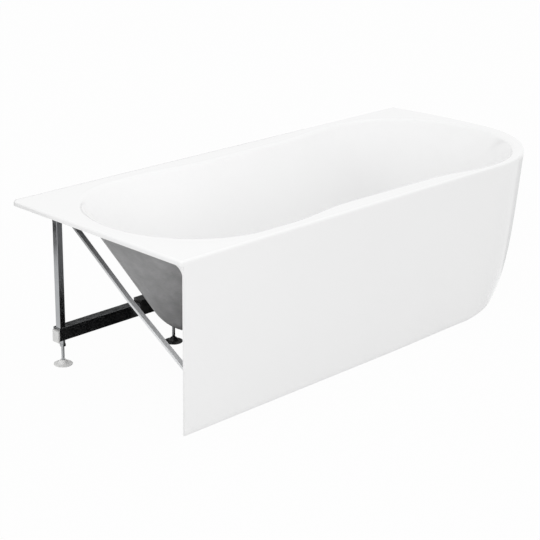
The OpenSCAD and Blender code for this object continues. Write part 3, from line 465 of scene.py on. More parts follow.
def plain(name, base, recipe, low, high):
    """A recipe's material, in a colour that varies a little."""
    shader = grained(name, recipe, low, high)
    tint = shader.ramp(shader.noise(*recipe.tint), base, (
        (TINT_FROM, 1 - recipe.contrast), (TINT_TO, 1 + recipe.contrast)))
    shader.feed(tint, "Base Color")
    shader.set(recipe.values)
    return shader.material


def acrylic(name, base):
    """Cast acrylic in the gloss that the user sets."""
    gloss = bpy.context.scene.bath_colours.acrylic_gloss
    return plain(name, base, SKIN, gloss - GLOSS_BELOW, gloss + GLOSS_ABOVE)


FIBRE_CLOUD, FIBRE_STRANDS = (22.0, 5.0, 0.6), (260.0, 4.0, 0.6, (1.0, 0.35, 1.6))
STRAND_SHARE = 0.35
FIBRE_TONES = ((0.45, 0.82), (0.68, 1.0), (0.9, 1.22))
FIBRE_ROUGH = (0.5, 0.72)
FIBRE_DEPTH, FIBRE_STRENGTH = 0.0006, 0.6


def glass_fibre(name, base):
    """Resin rolled over chopped strands: mottled grey with a fine lay of fibres."""
    shader = Shader(name)
    mottle, strands = shader.noise(*FIBRE_CLOUD), shader.noise(*FIBRE_STRANDS)
    mixed = shader.reckon("MULTIPLY_ADD", strands, STRAND_SHARE, mottle)
    shader.feed(shader.ramp(mixed, base, FIBRE_TONES), "Base Color")
    shader.feed(shader.spread(mottle, *FIBRE_ROUGH), "Roughness")
    shader.bump(strands, FIBRE_DEPTH, FIBRE_STRENGTH)
    return shader.material


# The brace from its foot to its top: tones by share of its height, which are painted light at its
# foot and painted shade under the rim; the heights between which the foot's painted light, a paler
# and less metallic zinc, goes; and how metallic the zinc is at its foot
BRACE_FOOT, BRACE_TOP = 0.13, 0.48
BRACE_PAINTED_SHADE = ((0.0, 1.3), (0.25, 1.3), (0.55, 1.0), (1.0, 0.45))
PAINTED_LIGHT_FULL, PAINTED_LIGHT_NONE, PAINTED_LIGHT_METAL = 0.19, 0.32, 0.2
BRACE_ROUGH = (0.32, 0.46)
CLOUD_SHADE = 0.9


def bloomed_zinc(name, base):
    """Zinc with painted shade towards its top under the rim, and painted light at its foot, where
    it is paler and less metallic.
    """
    shader = grained(name, ZINC, *BRACE_ROUGH)
    split = shader.add("ShaderNodeSeparateXYZ")
    shader.link(shader.place, split.inputs["Vector"])
    height = split.outputs["Z"]
    # Painted shade and light: the colour is darker towards the top under the rim and lighter at the
    # foot
    tone = shader.ramp(shader.spread(height, 0.0, 1.0, BRACE_FOOT, BRACE_TOP), base, BRACE_PAINTED_SHADE)
    cloud = shader.ramp(shader.noise(*ZINC.tint), WHITE, ((TINT_FROM, CLOUD_SHADE), (TINT_TO, 1.0)))
    clouded = shader.add("ShaderNodeMix", data_type="RGBA", blend_type="MULTIPLY")
    amount, first, second = [socket for socket in clouded.inputs if socket.enabled]
    amount.default_value = 1.0
    shader.link(tone, first)
    shader.link(cloud, second)
    shader.feed([socket for socket in clouded.outputs if socket.enabled][0], "Base Color")
    # Painted light: the zinc is less metallic at its foot, so that it shows paler there
    shader.feed(shader.spread(height, PAINTED_LIGHT_METAL, 1.0, PAINTED_LIGHT_FULL, PAINTED_LIGHT_NONE), "Metallic")
    return shader.material


FLAKE_SCALE = 420.0
FLAKE_TONES = ((0.1, 0.75), (0.5, 1.0), (0.8, 1.2))
FLAKE_DEPTH, FLAKE_STRENGTH = 0.0004, 0.6
WOOD_ROUGH = 0.8


def pressed_board(name, base):
    """Raw pressed board: small flakes in two tones."""
    shader = Shader(name)
    flakes = shader.add("ShaderNodeTexVoronoi", Scale=FLAKE_SCALE, Randomness=1.0)
    shader.link(shader.place, flakes.inputs["Vector"])
    shader.feed(shader.ramp(flakes.outputs["Distance"], base, FLAKE_TONES), "Base Color")
    shader.set({"Roughness": WOOD_ROUGH})
    shader.bump(flakes.outputs["Distance"], FLAKE_DEPTH, FLAKE_STRENGTH)
    return shader.material


# Finishes by the record's slot names, and one more for the brace: material, colour and maker, and
# for a plain one its recipe and its least and greatest roughness
FINISHES = {
    "acrylic": ("white acrylic", "acrylic", acrylic),
    "glass_fibre": ("glass fibre resin", "backing", glass_fibre),
    "bloomed_zinc": ("satin zinc", "satin_zinc", bloomed_zinc),
    "wood": ("raw board", "wood", pressed_board),
    "zinc_steel": ("bright zinc", "zinc", plain, ZINC, 0.14, 0.3),
    "chrome": ("polished chrome", "chrome", plain, CHROME, 0.04, 0.11),
    "black_steel": ("black coat", "black_steel", plain, COAT, 0.3, 0.45),
    "black_plastic": ("black plastic", "black_plastic", plain, COAT, 0.38, 0.55),
    "pale_plastic": ("pale plastic", "pale_plastic", plain, COAT, 0.35, 0.5),
    "waste_plastic": ("white plastic", "white_plastic", plain, COAT, 0.3, 0.45),
    "hose_plastic": ("hose plastic", "hose", plain, COAT, 0.35, 0.5),
    "seal_rubber": ("seal rubber", "rubber", plain, COAT, 0.6, 0.8),
    "cable_plastic": ("cable sheath", "rubber", plain, COAT, 0.4, 0.6),
}


def finish(slot):
    """The material of a finish, made when it is first asked for."""
    name, shade, make, *rest = FINISHES[slot]
    look = bpy.context.scene.bath_colours
    return bpy.data.materials.get(name) or make(name, getattr(look, shade), *rest)


# The form of the tub, in metres from the floor corner under the left front

# Stations go round the bath: how many on each straight side, the degrees between those on the arcs,
# and for a corner of the left end the degrees between them, its half width and the gap to the next
FOOT, BACK, HEAD, FRONT = range(4)
SIDE_STEPS, ARC_STEP, CORNER_STEP, CORNER_HALF, CORNER_GAP = 56, 2.5, 0.8, 4.0, 7.5
CORNER_SLACK = 1e-6
BACK_LEFT, FRONT_LEFT = 135, 225
END_STRAIGHT = 0.050

# The draw-in from the rim down to the floor, with the even and the late part of it
DRAW_EVEN, DRAW_LATE, DRAW_POWER = 0.56, 0.44, 4.7
HEM_HEIGHT, HEM_IN = 0.012, 0.0012
APRON_STEPS, END_STEPS = 90, 30

# How much of the backrest's inset moves its curve's centre, and how deep the roll of its top goes
HEAD_SHIFT, DIP_END = 0.86, 0.060
ARM_FROM, ARM_TO, ARM_IN, ARM_OUT, ARM_FADE = 0.430, 1.300, 0.270, 0.240, 1.5

# Levels of the bowl: degrees of the turn from floor to wall, depths of the walls, and degrees of
# the turn into the rim
FLOOR_TURNS = (90, 87, 83, 79, 75, 71, 67, 62, 57, 52, 47, 42, 37, 32, 26, 20)
WALL_DEPTHS = np.linspace(0.268, 0.018, 18)
ROLL_TURNS = np.linspace(76, 0, 12)

# One level: the middle of the head curve, and how far both curves reach along and across
Level = namedtuple("Level", "head_x head_along head_half foot_along foot_half")


class TubForm:
    """Rings of points round the bath: rim rings, bowl rings and the apron's stations."""

    def __init__(self, tub, apron):
        self.tub = tub
        self.apron = apron
        self.length = tub.length
        self.width = tub.width
        self.height = tub.height
        self.corner_x = self.length - tub.corner_radius
        self.foot_x = self.length - tub.foot_back
        self.end_from = tub.corner_radius + END_STRAIGHT
        # Lean and fillet of the backrest, the walls beside it, the foot end and those beside it
        self.walls = ((tub.head_lean, tub.head_fillet), (tub.head_side_lean, tub.head_side_fillet),
                      (tub.foot_lean, tub.foot_fillet), (tub.foot_side_lean, tub.foot_fillet))
        self.stations = self.make_stations()

    def make_stations(self):
        def arc(first, last, step=ARC_STEP):
            return list(np.arange(first, last + step / 2, step))

        head = arc(90, BACK_LEFT - CORNER_GAP)
        for corner, last in ((BACK_LEFT, FRONT_LEFT - CORNER_GAP), (FRONT_LEFT, 270)):
            head += arc(corner - CORNER_HALF, corner + CORNER_HALF, CORNER_STEP)
            head += arc(corner + CORNER_GAP, last)
        shares = [k / SIDE_STEPS for k in range(1, SIDE_STEPS)]
        return ([(FOOT, a) for a in arc(-90, 90)] + [(BACK, t) for t in shares]
                + [(HEAD, a) for a in head] + [(FRONT, t) for t in shares])

    # Plan of the rim

    def end_x(self, y):
        past = max(0.0, y - self.end_from)
        radius = self.tub.end_radius
        return self.length - radius + sqrt(radius * radius - past * past)

    def end_tilt(self, y):
        return asin(max(0.0, y - self.end_from) / self.tub.end_radius)

    def rim_place(self, station):
        """A station's point on the rim's outline, and its way in."""
        section, v = station
        tub = self.tub
        if section == FOOT:
            return self.foot_place(v)
        if section == BACK:
            return self.foot_x + (tub.head_centre - self.foot_x) * v, self.width, 0.0, -1.0
        if section == FRONT:
            return tub.head_centre + (self.corner_x - tub.head_centre) * v, 0.0, 0.0, 1.0
        for middle, radius, y in (
                (BACK_LEFT, tub.back_corner_radius, self.width - tub.back_corner_radius),
                (FRONT_LEFT, tub.front_corner_radius, tub.front_corner_radius)):
            past = (v - middle + CORNER_HALF) / (2 * CORNER_HALF)
            if -CORNER_SLACK <= past <= 1 + CORNER_SLACK:
                turn = radians(middle - 45 + 90 * past)
                along, across = cos(turn), sin(turn)
                return radius + radius * along, y + radius * across, -along, -across
        if v < BACK_LEFT:
            return tub.head_centre * (1 - tan(radians(v - 90))), self.width, 0.0, -1.0
        if v < 180:
            past = tan(radians(180 - v))
            return 0.0, tub.bowl_centre + (self.width - tub.bowl_centre) * past, 1.0, 0.0
        if v < FRONT_LEFT:
            return 0.0, tub.bowl_centre * (1 - tan(radians(v - 180))), 1.0, 0.0
        return tub.head_centre * (1 - tan(radians(270 - v))), 0.0, 0.0, 1.0

    def foot_place(self, v):
        """The same round the free end: its corner, its bowed end and the end of its back."""
        radius = self.tub.corner_radius
        if v <= 0:
            along, across = cos(radians(v)), sin(radians(v))
            return self.corner_x + radius * along, radius * (1 + across), -along, -across
        if v > 45:
            reach = self.end_x(self.width) - self.foot_x
            return self.foot_x + reach * tan(radians(90 - v)), self.width, 0.0, -1.0
        y = radius + (self.width - radius) * tan(radians(v))
        tilt = self.end_tilt(y)
        if v < 45:
            return self.end_x(y), y, -1 / cos(tilt), 0.0
        return self.end_x(y), y, -cos(tilt) / (1 + sin(tilt)), -1.0

    # Draw-in of the skirt

    def taper_share(self, run):
        apron = self.apron
        past_early = run - (self.length - apron.draw_early)
        past_main = run - (self.length - apron.draw_main)
        slight = ease(past_early / (apron.draw_early - apron.draw_main))
        full = ease(past_main / apron.draw_length)
        return apron.draw_share * slight + (1 - apron.draw_share) * full

    def taper_drop(self, z):
        t = 1 - z / self.height
        return DRAW_EVEN * t + DRAW_LATE * t ** DRAW_POWER

    def corner_run(self, degrees):
        return self.corner_x + self.tub.corner_radius * radians(degrees + 90)

    def station_taper(self, station):
        section, v = station
        if section == FOOT:
            return self.taper_share(self.corner_run(v)) if v <= 0 else 1.0 if v <= 45 else 0.0
        if section == FRONT or (section == HEAD and v > FRONT_LEFT):
            return self.taper_share(self.rim_place(station)[0])
        return 0.0

    def rim_ring(self, inset, z):
        ring = []
        for station in self.stations:
            x, y, wx, wy = self.rim_place(station)
            tx, ty = (-1.0, 0.0) if station == (FOOT, 45.0) else (wx, wy)
            pull = self.apron.taper * self.station_taper(station) * self.taper_drop(z)
            ring.append((x + wx * inset + tx * pull, y + wy * inset + ty * pull, z))
        return ring

    # Walls of the bowl

    def wall_inset(self, depth, lean, fillet, skin):
        floor = self.tub.bowl_depth
        if depth <= floor - fillet + (fillet + skin) * sin(lean):
            return tan(lean) * depth - skin / cos(lean)
        run = tan(lean) * (floor - fillet * (1 - sin(lean))) + fillet * cos(lean)
        return run - sqrt(max(0.0, (fillet + skin) ** 2 - (depth - floor + fillet) ** 2))

    def bowl_level(self, head, head_side, foot, foot_side):
        tub = self.tub
        return Level(tub.head_centre + HEAD_SHIFT * head,
                     tub.head_centre - tub.rim_left - (1 - HEAD_SHIFT) * head,
                     tub.head_half - head_side, tub.foot_back - tub.rim_right - foot,
                     tub.foot_half - foot_side)

    def wall_insets(self, depth, skin):
        """How far the four walls stand in from the rim."""
        insets = [self.wall_inset(depth, lean, fillet, skin) for lean, fillet in self.walls]
        t = min(1.0, max(0.0, depth) / DIP_END)
        insets[0] += self.tub.head_dip * (1 - (1 - t) ** 2)
        return insets

    def arm_inset(self, x, depth):
        arms = ease((x - ARM_FROM) / ARM_IN) * ease((ARM_TO - x) / ARM_OUT)
        return self.tub.arm_rest * arms * max(0.0, 1 - depth / self.tub.bowl_depth) ** ARM_FADE

    def side_half(self, x, level, depth):
        slope = (level.foot_half - level.head_half) / (self.foot_x - level.head_x)
        return level.head_half + slope * (x - level.head_x) - self.arm_inset(x, depth)

    def bowl_ring(self, depth, level):
        ring = []
        middle = self.tub.bowl_centre
        for section, v in self.stations:
            if section in (FOOT, HEAD):
                x, along, across = level[:3] if section == HEAD else (self.foot_x, *level[3:])
                x, y = x + along * cos(radians(v)), middle + across * sin(radians(v))
            else:
                t = 1 - v if section == BACK else v
                side = 1 if section == BACK else -1
                x = level.head_x + (self.foot_x - level.head_x) * t
                y = middle + side * self.side_half(x, level, depth)
            ring.append((x, y, self.height - depth))
        return ring

    def roll_inset(self, depth, lean, skin, wall):
        """Inset on the rounding between the rim and a wall, or the wall's own below its end."""
        radius = self.tub.roll_radius
        if depth > radius - (radius - skin) * sin(lean):
            return wall
        turn = acos(max(-1.0, min(1.0, (radius - depth) / (radius - skin))))
        return (radius - skin) * sin(turn) - radius * tan((pi / 2 - lean) / 2)

    def roll_ring(self, turn, skin):
        radius = self.tub.roll_radius
        depth = radius - (radius - skin) * cos(radians(turn))
        leans = [lean for lean, fillet in self.walls]
        leans[0] = atan(tan(leans[0]) + 2 * self.tub.head_dip / DIP_END)
        insets = [self.roll_inset(depth, lean, skin, wall)
                  for lean, wall in zip(leans, self.wall_insets(depth, skin))]
        return self.bowl_ring(depth, self.bowl_level(*insets))

    def wall_ring(self, depth, skin):
        return self.bowl_ring(depth, self.bowl_level(*self.wall_insets(depth, skin)))

    def floor_ring(self, turn, skin):
        fillet = self.tub.head_side_fillet
        depth = self.tub.bowl_depth - fillet + (fillet + skin) * sin(radians(turn))
        return self.wall_ring(depth, skin)

    def bowl_rings(self, skin):
        """Rings from the middle of the floor up to the rim, for a skin below the surface."""
        return ([self.floor_ring(a, skin) for a in FLOOR_TURNS]
                + [self.wall_ring(depth, skin) for depth in WALL_DEPTHS]
                + [self.roll_ring(a, skin) for a in ROLL_TURNS])

    # Stations of the apron: where it starts, its way in and its share of the draw-in

    def apron_stations(self):
        result = []
        for x in np.linspace(self.apron.start, self.corner_x, APRON_STEPS)[:-1]:
            result.append((x, 0.0, 0.0, 1.0, self.taper_share(x)))
        for a in np.arange(-90, 0.1, ARC_STEP):
            result.append((*self.foot_place(a), self.taper_share(self.corner_run(a))))
        for y in np.linspace(self.tub.corner_radius, self.width, END_STEPS)[1:]:
            result.append((self.end_x(y), y, -1 / cos(self.end_tilt(y)), 0.0, 1.0))
        return result

    def apron_point(self, station, inset, z):
        x, y, wx, wy, part = station
        hem = HEM_IN * (1 - z / HEM_HEIGHT) ** 2 if z < HEM_HEIGHT else 0.0
        pull = inset + hem + self.apron.taper * part * self.taper_drop(z)
        return x + wx * pull, y + wy * pull, z


def tub_form():
    scene = bpy.context.scene
    return TubForm(scene.bath_tub, scene.bath_apron)


# Operators: one for each piece or group of like pieces

EDGE_TURNS = np.radians(np.arange(0, 91, 10))
COVE_TURNS = np.radians(np.arange(0, 91, 15))
COVE_ROOM = 0.001


class BATH_OT_shell(bpy.types.Operator):
    """Makes the acrylic tub: bowl, rim and turned-down edge in one skin"""

    bl_idname = "bath.shell"
    bl_label = "Tub shell"

    def execute(self, context):
        form = tub_form()
        tub = context.scene.bath_tub
        top = form.height
        edge, sheet, lip = tub.edge_radius, tub.sheet, tub.lip_height
        cove = lip - sheet - COVE_ROOM
        upper = form.bowl_rings(0.0)
        upper += [form.rim_ring(edge * (1 - sin(a)), top - edge * (1 - cos(a)))
                  for a in EDGE_TURNS]
        upper.append(form.rim_ring(0.0, top - lip))
        lower = [form.rim_ring(sheet, top - lip)]
        lower += [form.rim_ring(sheet + cove * (1 - cos(a)),
                                top - sheet - cove * (1 - sin(a))) for a in COVE_TURNS]
        lower += form.bowl_rings(sheet)[::-1]
        points, faces = capped_stack(upper + lower)
        count = len(form.stations)
        marks = [1 if face[0] // count >= len(upper) else 0 for face in faces]
        mesh = cut_fitting_holes(mesh_of("tub_skin", to_frame(points), faces, marks))
        add_piece("tub_skin", mesh, ["acrylic", "glass_fibre"], "bath", "tub_shell", crease=40)
        return {"FINISHED"}


class BATH_OT_backing(bpy.types.Operator):
    """Makes the glass-fibre backing that is rolled on under the bowl"""

    bl_idname = "bath.backing"
    bl_label = "Glass-fibre backing"

    def execute(self, context):
        form = tub_form()
        tub = context.scene.bath_tub
        inner = tub.sheet + tub.glue
        outer = inner + tub.backing
        points, faces = capped_stack(form.bowl_rings(inner) + form.bowl_rings(outer)[::-1])
        mesh = cut_fitting_holes(mesh_of("backing_skin", to_frame(points), faces))
        add_piece("backing_skin", mesh, ["glass_fibre"], "bath", "bowl_backing", crease=50)
        return {"FINISHED"}


APRON_LEVELS, FOOT_LEVELS_FROM = 24, 0.060
FOOT_LEVELS = [0.050, 0.040, 0.030, 0.020, 0.012, 0.008, 0.004, 0.0015, 0.0]
WEB_TURNS = np.radians(np.linspace(180, 90, 13))
WEB_BACK, WEB_OVERLAP = 0.0035, 0.001


class BATH_OT_apron(bpy.types.Operator):
    """Makes the apron, drawn in towards the floor round the corner and the free end"""

    bl_idname = "bath.apron"
    bl_label = "Apron"

    def execute(self, context):
        form = tub_form()
        thick = context.scene.bath_apron.thickness
        top = form.height - context.scene.bath_tub.lip_height
        levels = list(np.linspace(top, FOOT_LEVELS_FROM, APRON_LEVELS)) + FOOT_LEVELS
        sections = [[form.apron_point(station, 0.0, z) for z in levels]
                    + [form.apron_point(station, thick, z) for z in levels[::-1]]
                    for station in form.apron_stations()]
        count = len(sections[0])
        points = [p for section in sections for p in section]
        faces = stack_faces(len(sections), count)
        for start in (0, (len(sections) - 1) * count):
            faces += [(start + i, start + i + 1, start + count - 2 - i, start + count - 1 - i)
                      for i in range(len(levels) - 1)]
        web_points, web_faces = self.corner_web(form, thick, top)
        faces += [tuple(len(points) + i for i in face) for face in web_faces]
        mesh = mesh_of("apron_skin", to_frame(points + web_points), faces)
        add_piece("apron_skin", mesh, ["acrylic"], "bath", "apron", crease=40)
        return {"FINISHED"}

    @staticmethod
    def corner_web(form, thick, top):
        """The fillet with which the apron's left edge turns into the rim."""
        radius, edge = form.apron.web, form.apron.start
        outline = [(WEB_BACK, top - radius)]
        outline += [(thick + radius * (1 + cos(turn)), top - radius * (1 - sin(turn)))
                    for turn in WEB_TURNS]
        outline.append((WEB_BACK, top))
        count = len(outline)
        flare = edge - form.apron.web_start
        points = [(edge - flare * (1 - (top - z) / radius), y, z) for y, z in outline]
        points += [(edge + WEB_OVERLAP, y, z) for y, z in outline]
        faces = [(count - 1, i, i + 1) for i in range(count - 2)]
        faces += [(2 * count - 1, count + i + 1, count + i) for i in range(count - 2)]
        faces += [(i, (i + 1) % count, count + (i + 1) % count, count + i) for i in range(count)]
        return points, faces


class BATH_OT_steel(bpy.types.Operator):
    """Finishes the rails, uprights, brace, cross members and saddles"""

    bl_idname = "bath.steel"
    bl_label = "Steel frame"

    ROWS = (
        ("zinc_steel", 0.0012, ("rear_rail", "front_rail", "cross_member_left",
                                "cross_member_right", "upright_left", "upright_right",
                                "apron_stays")),
        ("bloomed_zinc", 0.0012, ("apron_brace",)),
        ("zinc_steel", 0.0003, ("upright_brackets", "stud_bushes", "base_screws", "hose_clips")),
        ("black_steel", 0.0010, ("rear_saddles", "front_saddles")),
        ("pale_plastic", 0.0012, ("rail_cap_left", "rail_cap_right")))

    def execute(self, context):
        return finish_nodes(self.ROWS)


class BATH_OT_boards(bpy.types.Operator):
    """Finishes the base board, battens, blocks, cleats and the resin strip"""

    bl_idname = "bath.boards"
    bl_label = "Boards and cleats"

    ROWS = (
        ("wood", 0.0008, ("base_board", "rim_batten", "deck_block_left", "deck_block_right",
                          "apron_cleats")),
        ("glass_fibre", None, ("apron_bond",)))

    def execute(self, context):
        return finish_nodes(self.ROWS)


STUD_SIDES, THREAD_STEPS = 24, 4
STUD_RADIUS, END_CHAMFER = 0.0049, 0.0012
FLANGE_OUT, FLANGE_HEIGHT = 0.002, 0.004
FLAT_LOW, FLAT_HIGH, FLAT_AT = 0.0175, 0.0255, 0.0038
STEP_HEIGHT, THREAD_ABOVE_FLAT, THREAD_BELOW_END = 0.0001, 0.001, 0.0006


class BATH_OT_studs(bpy.types.Operator):
    """Makes the six threaded studs with their key flats"""

    bl_idname = "bath.studs"
    bl_label = "Levelling studs"

    def execute(self, context):
        fit = context.scene.bath_fittings
        share_of_turn = np.arange(STUD_SIDES) / STUD_SIDES
        for foot in FEET:
            name = "stud_" + foot
            x, y, low, high = upright_axis(name)
            flange = STUD_RADIUS + FLANGE_OUT
            profile = [(low, flange), (low + FLANGE_HEIGHT - STEP_HEIGHT, flange),
                       (low + FLANGE_HEIGHT, STUD_RADIUS), (FLAT_LOW - STEP_HEIGHT, STUD_RADIUS),
                       (FLAT_LOW, STUD_RADIUS), (FLAT_HIGH, STUD_RADIUS),
                       (FLAT_HIGH + STEP_HEIGHT, STUD_RADIUS)]
            for z in np.arange(FLAT_HIGH + THREAD_ABOVE_FLAT, high - THREAD_BELOW_END,
                               fit.thread_pitch / THREAD_STEPS):
                wave = (z / fit.thread_pitch - share_of_turn) % 1.0
                profile.append((z, STUD_RADIUS - fit.thread_depth * (1 - abs(2 * wave - 1))))
            profile.append((high, STUD_RADIUS - END_CHAMFER))
            rings = [level_ring(x, y, radius, z, STUD_SIDES) for z, radius in profile]
            for ring in rings:
                if FLAT_LOW <= ring[0, 2] <= FLAT_HIGH:
                    ring[:, 0] = np.clip(ring[:, 0], x - FLAT_AT, x + FLAT_AT)
            mesh = mesh_of(name + "_thread", *capped_stack(rings))
            add_piece(name + "_thread", mesh, ["zinc_steel"], name, name, crease=40)
        return {"FINISHED"}


NUT_SIDES, NUT_BORE, BORE_EDGE = 96, 0.005, 0.0006
CROWN, CHAMFER_SLOPE = 1.02, 0.58


class BATH_OT_nuts(bpy.types.Operator):
    """Makes the six chamfered lock nuts"""

    bl_idname = "bath.nuts"
    bl_label = "Lock nuts"

    def execute(self, context):
        low, high = upright_axis("lock_nuts")[2:]
        apothem = context.scene.bath_fittings.nut_width / 2
        turns = 2 * np.pi * np.arange(NUT_SIDES) / NUT_SIDES
        hexagon = apothem / np.cos(turns % (np.pi / 3) - np.pi / 6)
        crown = np.minimum(hexagon, apothem * CROWN)
        drop = (hexagon - crown) * CHAMFER_SLOPE
        profile = ((low, NUT_BORE + BORE_EDGE), (low, crown), (low + drop, hexagon),
                   (high - drop, hexagon), (high, crown), (high, NUT_BORE + BORE_EDGE),
                   (high - BORE_EDGE, NUT_BORE), (low + BORE_EDGE, NUT_BORE))
        points, faces = [], []
        for foot in FEET:
            x, y = upright_axis("stud_" + foot)[:2]
            faces += [tuple(len(points) + i for i in face)
                      for face in stack_faces(len(profile), NUT_SIDES, closed=True)]
            points += [p for z, radius in profile for p in level_ring(x, y, radius, z, NUT_SIDES)]
        mesh = mesh_of("lock_nut_set", points, faces)
        add_piece("lock_nut_set", mesh, ["zinc_steel"], "bath", "lock_nuts", crease=25)
        return {"FINISHED"}


class BATH_OT_pads(bpy.types.Operator):
    """Finishes the six foot pads: pale at the ends of the rail, black under the bowl"""

    bl_idname = "bath.pads"
    bl_label = "Foot pads"

    ROWS = (
        ("pale_plastic", None, tuple("pad_" + foot for foot in FEET[:2])),
        ("black_plastic", None, tuple("pad_" + foot for foot in FEET[2:])))

    def execute(self, context):
        return finish_nodes(self.ROWS)


class BATH_OT_waste(bpy.types.Operator):
    """Finishes the waste, plug, trap, overflow, knob and seals"""

    bl_idname = "bath.waste"
    bl_label = "Waste and overflow"

    ROWS = (
        ("chrome", 0.0006, ("waste_flange", "waste_plug", "overflow_face", "overflow_knob")),
        ("waste_plastic", 0.0006, ("waste_body", "trap_body", "trap_cup", "trap_nut",
                                   "overflow_body")),
        ("seal_rubber", None, ("waste_seal", "plug_seal", "overflow_seal")))

    def execute(self, context):
        return finish_nodes(self.ROWS)


def spline(points, steps):
    """A smooth curve through points, as many even steps to each stretch."""
    points = [np.array(p, float) for p in points]
    last = len(points) - 1
    curve = []
    for i in range(last):
        a, b, c, d = (points[max(0, min(last, k))] for k in (i - 1, i, i + 1, i + 2))
        for k in range(steps):
            t = k / steps
            curve.append(0.5 * (2 * b + (c - a) * t + (2 * a - 5 * b + 4 * c - d) * t * t
                                + (3 * b - a - 3 * c + d) * t ** 3))
    curve.append(points[-1])
    return np.array(curve)


def evenly(curve, count):
    """Points at an even spacing along a curve, and its length."""
    runs = np.concatenate([[0.0], np.cumsum(np.linalg.norm(np.diff(curve, axis=0), axis=1))])
    at = np.linspace(0.0, runs[-1], count + 1)
    return np.stack([np.interp(at, runs, curve[:, k]) for k in range(3)], axis=1), runs[-1]


def hoop(points, i, radius, sides):
    """A ring of points square to a route that stays in a plane of constant X."""
    way = points[min(len(points) - 1, i + 1)] - points[max(0, i - 1)]
    way = way / np.linalg.norm(way)
    side = np.array([1.0, 0.0, 0.0])
    up = np.cross(way, side)
    turns = 2 * np.pi * np.arange(sides) / sides
    return [points[i] + radius * (cos(t) * side + sin(t) * up) for t in turns]


# Routes as (Y, Z) in metres from the floor corner, each in a plane of constant X
HOSE_X = 0.880
HOSE_ROUTE = ((0.05122, 0.37043), (0.05122, 0.33043), (0.05122, 0.240), (0.05922, 0.190),
              (0.08322, 0.154), (0.12622, 0.1325), (0.16022, 0.1165), (0.19222, 0.1003),
              (0.22622, 0.0893), (0.25822, 0.0873), (0.278, 0.0873), (0.318, 0.0873))
CABLE_X = 0.904
CABLE_ROUTE = ((0.05122, 0.38613), (0.05122, 0.35613), (0.04922, 0.260), (0.05322, 0.190),
               (0.07722, 0.145), (0.12622, 0.124), (0.16222, 0.108), (0.19622, 0.0913),
               (0.23622, 0.0823), (0.27622, 0.0813), (0.2937, 0.0813), (0.3237, 0.0813))
HOSE_STEPS, RIB_STEPS, RIB_SQUARE, HOSE_WALL = 12, 6, 1.5, 0.0014
CABLE_STEPS, CABLE_POINTS, CABLE_SIDES = 10, 120, 16


def route(x, points, steps):
    """A smooth curve in the frame, along a route from the floor corner."""
    return spline(to_frame([(x, y, z) for y, z in points]), steps)


def add_cord(name, mesh, slot_name, node):
    """Adds a hose or cable that follows points."""
    piece = add_piece(name, mesh, [slot_name], "bath", node, crease=60)


class BATH_OT_hose(bpy.types.Operator):
    """Makes the ribbed overflow hose, open at both ends"""

    bl_idname = "bath.hose"
    bl_label = "Overflow hose"

    def execute(self, context):
        fit = context.scene.bath_fittings
        curve = route(HOSE_X, HOSE_ROUTE, HOSE_STEPS)
        ribs = int(evenly(curve, 2)[1] / fit.rib_pitch)
        points, total = evenly(curve, ribs * RIB_STEPS)
        count, sides, half_rib = len(points), fit.hose_sides, fit.rib_height / 2
        rings = []
        for i in range(count):
            crest = RIB_SQUARE * cos(2 * pi * i / RIB_STEPS)
            radius = fit.hose_radius - half_rib - max(-1.0, min(1.0, crest)) * half_rib
            rings.append(hoop(points, i, radius, sides))
        bore = fit.hose_radius - fit.rib_height - HOSE_WALL
        rings += [hoop(points, i, bore, sides) for i in range(count - 1, -1, -RIB_STEPS // 2)]
        mesh = mesh_of("ribbed_hose", [p for ring in rings for p in ring],
                       stack_faces(len(rings), sides, closed=True))
        add_cord("ribbed_hose", mesh, "hose_plastic", "overflow_hose")
        return {"FINISHED"}


class BATH_OT_cable(bpy.types.Operator):
    """Makes the cable that joins the overflow knob to the plug"""

    bl_idname = "bath.cable"
    bl_label = "Pull cable"

    def execute(self, context):
        radius = context.scene.bath_fittings.cable_radius
        points, total = evenly(route(CABLE_X, CABLE_ROUTE, CABLE_STEPS), CABLE_POINTS)
        rings = [hoop(points, i, radius, CABLE_SIDES) for i in range(len(points))]
        mesh = mesh_of("cable_sheath", *capped_stack(rings))
        add_cord("cable_sheath", mesh, "cable_plastic", "pull_cable")
        return {"FINISHED"}


# The stage

CAMERA_PLACE = (-3.35659, -3.15149, 1.81573)
CAMERA_YAW, CAMERA_PITCH, CAMERA_ROLL = 0.7924796, 0.3437843, 0.0143481
SENSOR, CLIP_END = 36.0, 100.0

# Lamps: the setting with the power, the place and the point that it shines at
LAMPS = (("key_light", (-2.8, -1.6, 2.2), (-0.2, 0.0, 0.4)),
         ("side_light", (-3.2, -3.2, 1.5), (0.2, 0.1, 0.4)),
         ("fill_light", (2.6, -2.8, 1.3), (0.6, -0.2, 0.3)))
LAMP_SIZE = 1.6

# The floor lies just under the feet. It glows where it is seen directly, by a share that leaves
# its shadow in view.
FLOOR_Z, FLOOR_RADIUS, FLOOR_SIDES, FLOOR_GLOW = -0.0006, 30.0, 96, 0.97
STAGE_ROUGH, STAGE_SPECULAR = 0.9, 0.1

# Corners of the cards that the steel mirrors: a dark one on the floor under the bowl, which is
# painted shade there, and a dark one upright behind the rail and a grey one on the floor past the
# free end, which are painted reflections that only reflections show
CARD_Z = -0.0003
FLOOR_CARD = ((-0.80, -0.33, CARD_Z), (0.42, -0.33, CARD_Z), (0.42, 0.20, CARD_Z),
              (-0.80, 0.20, CARD_Z))
BACK_CARD = ((-1.39, 0.9, 0.07), (0.9, 0.9, 0.07), (0.9, 0.9, 0.60), (-1.39, 0.9, 0.60))
SIDE_CARD = ((0.80, -0.2, CARD_Z), (2.2, -0.2, CARD_Z), (2.2, 1.4, CARD_Z), (0.80, 1.4, CARD_Z))


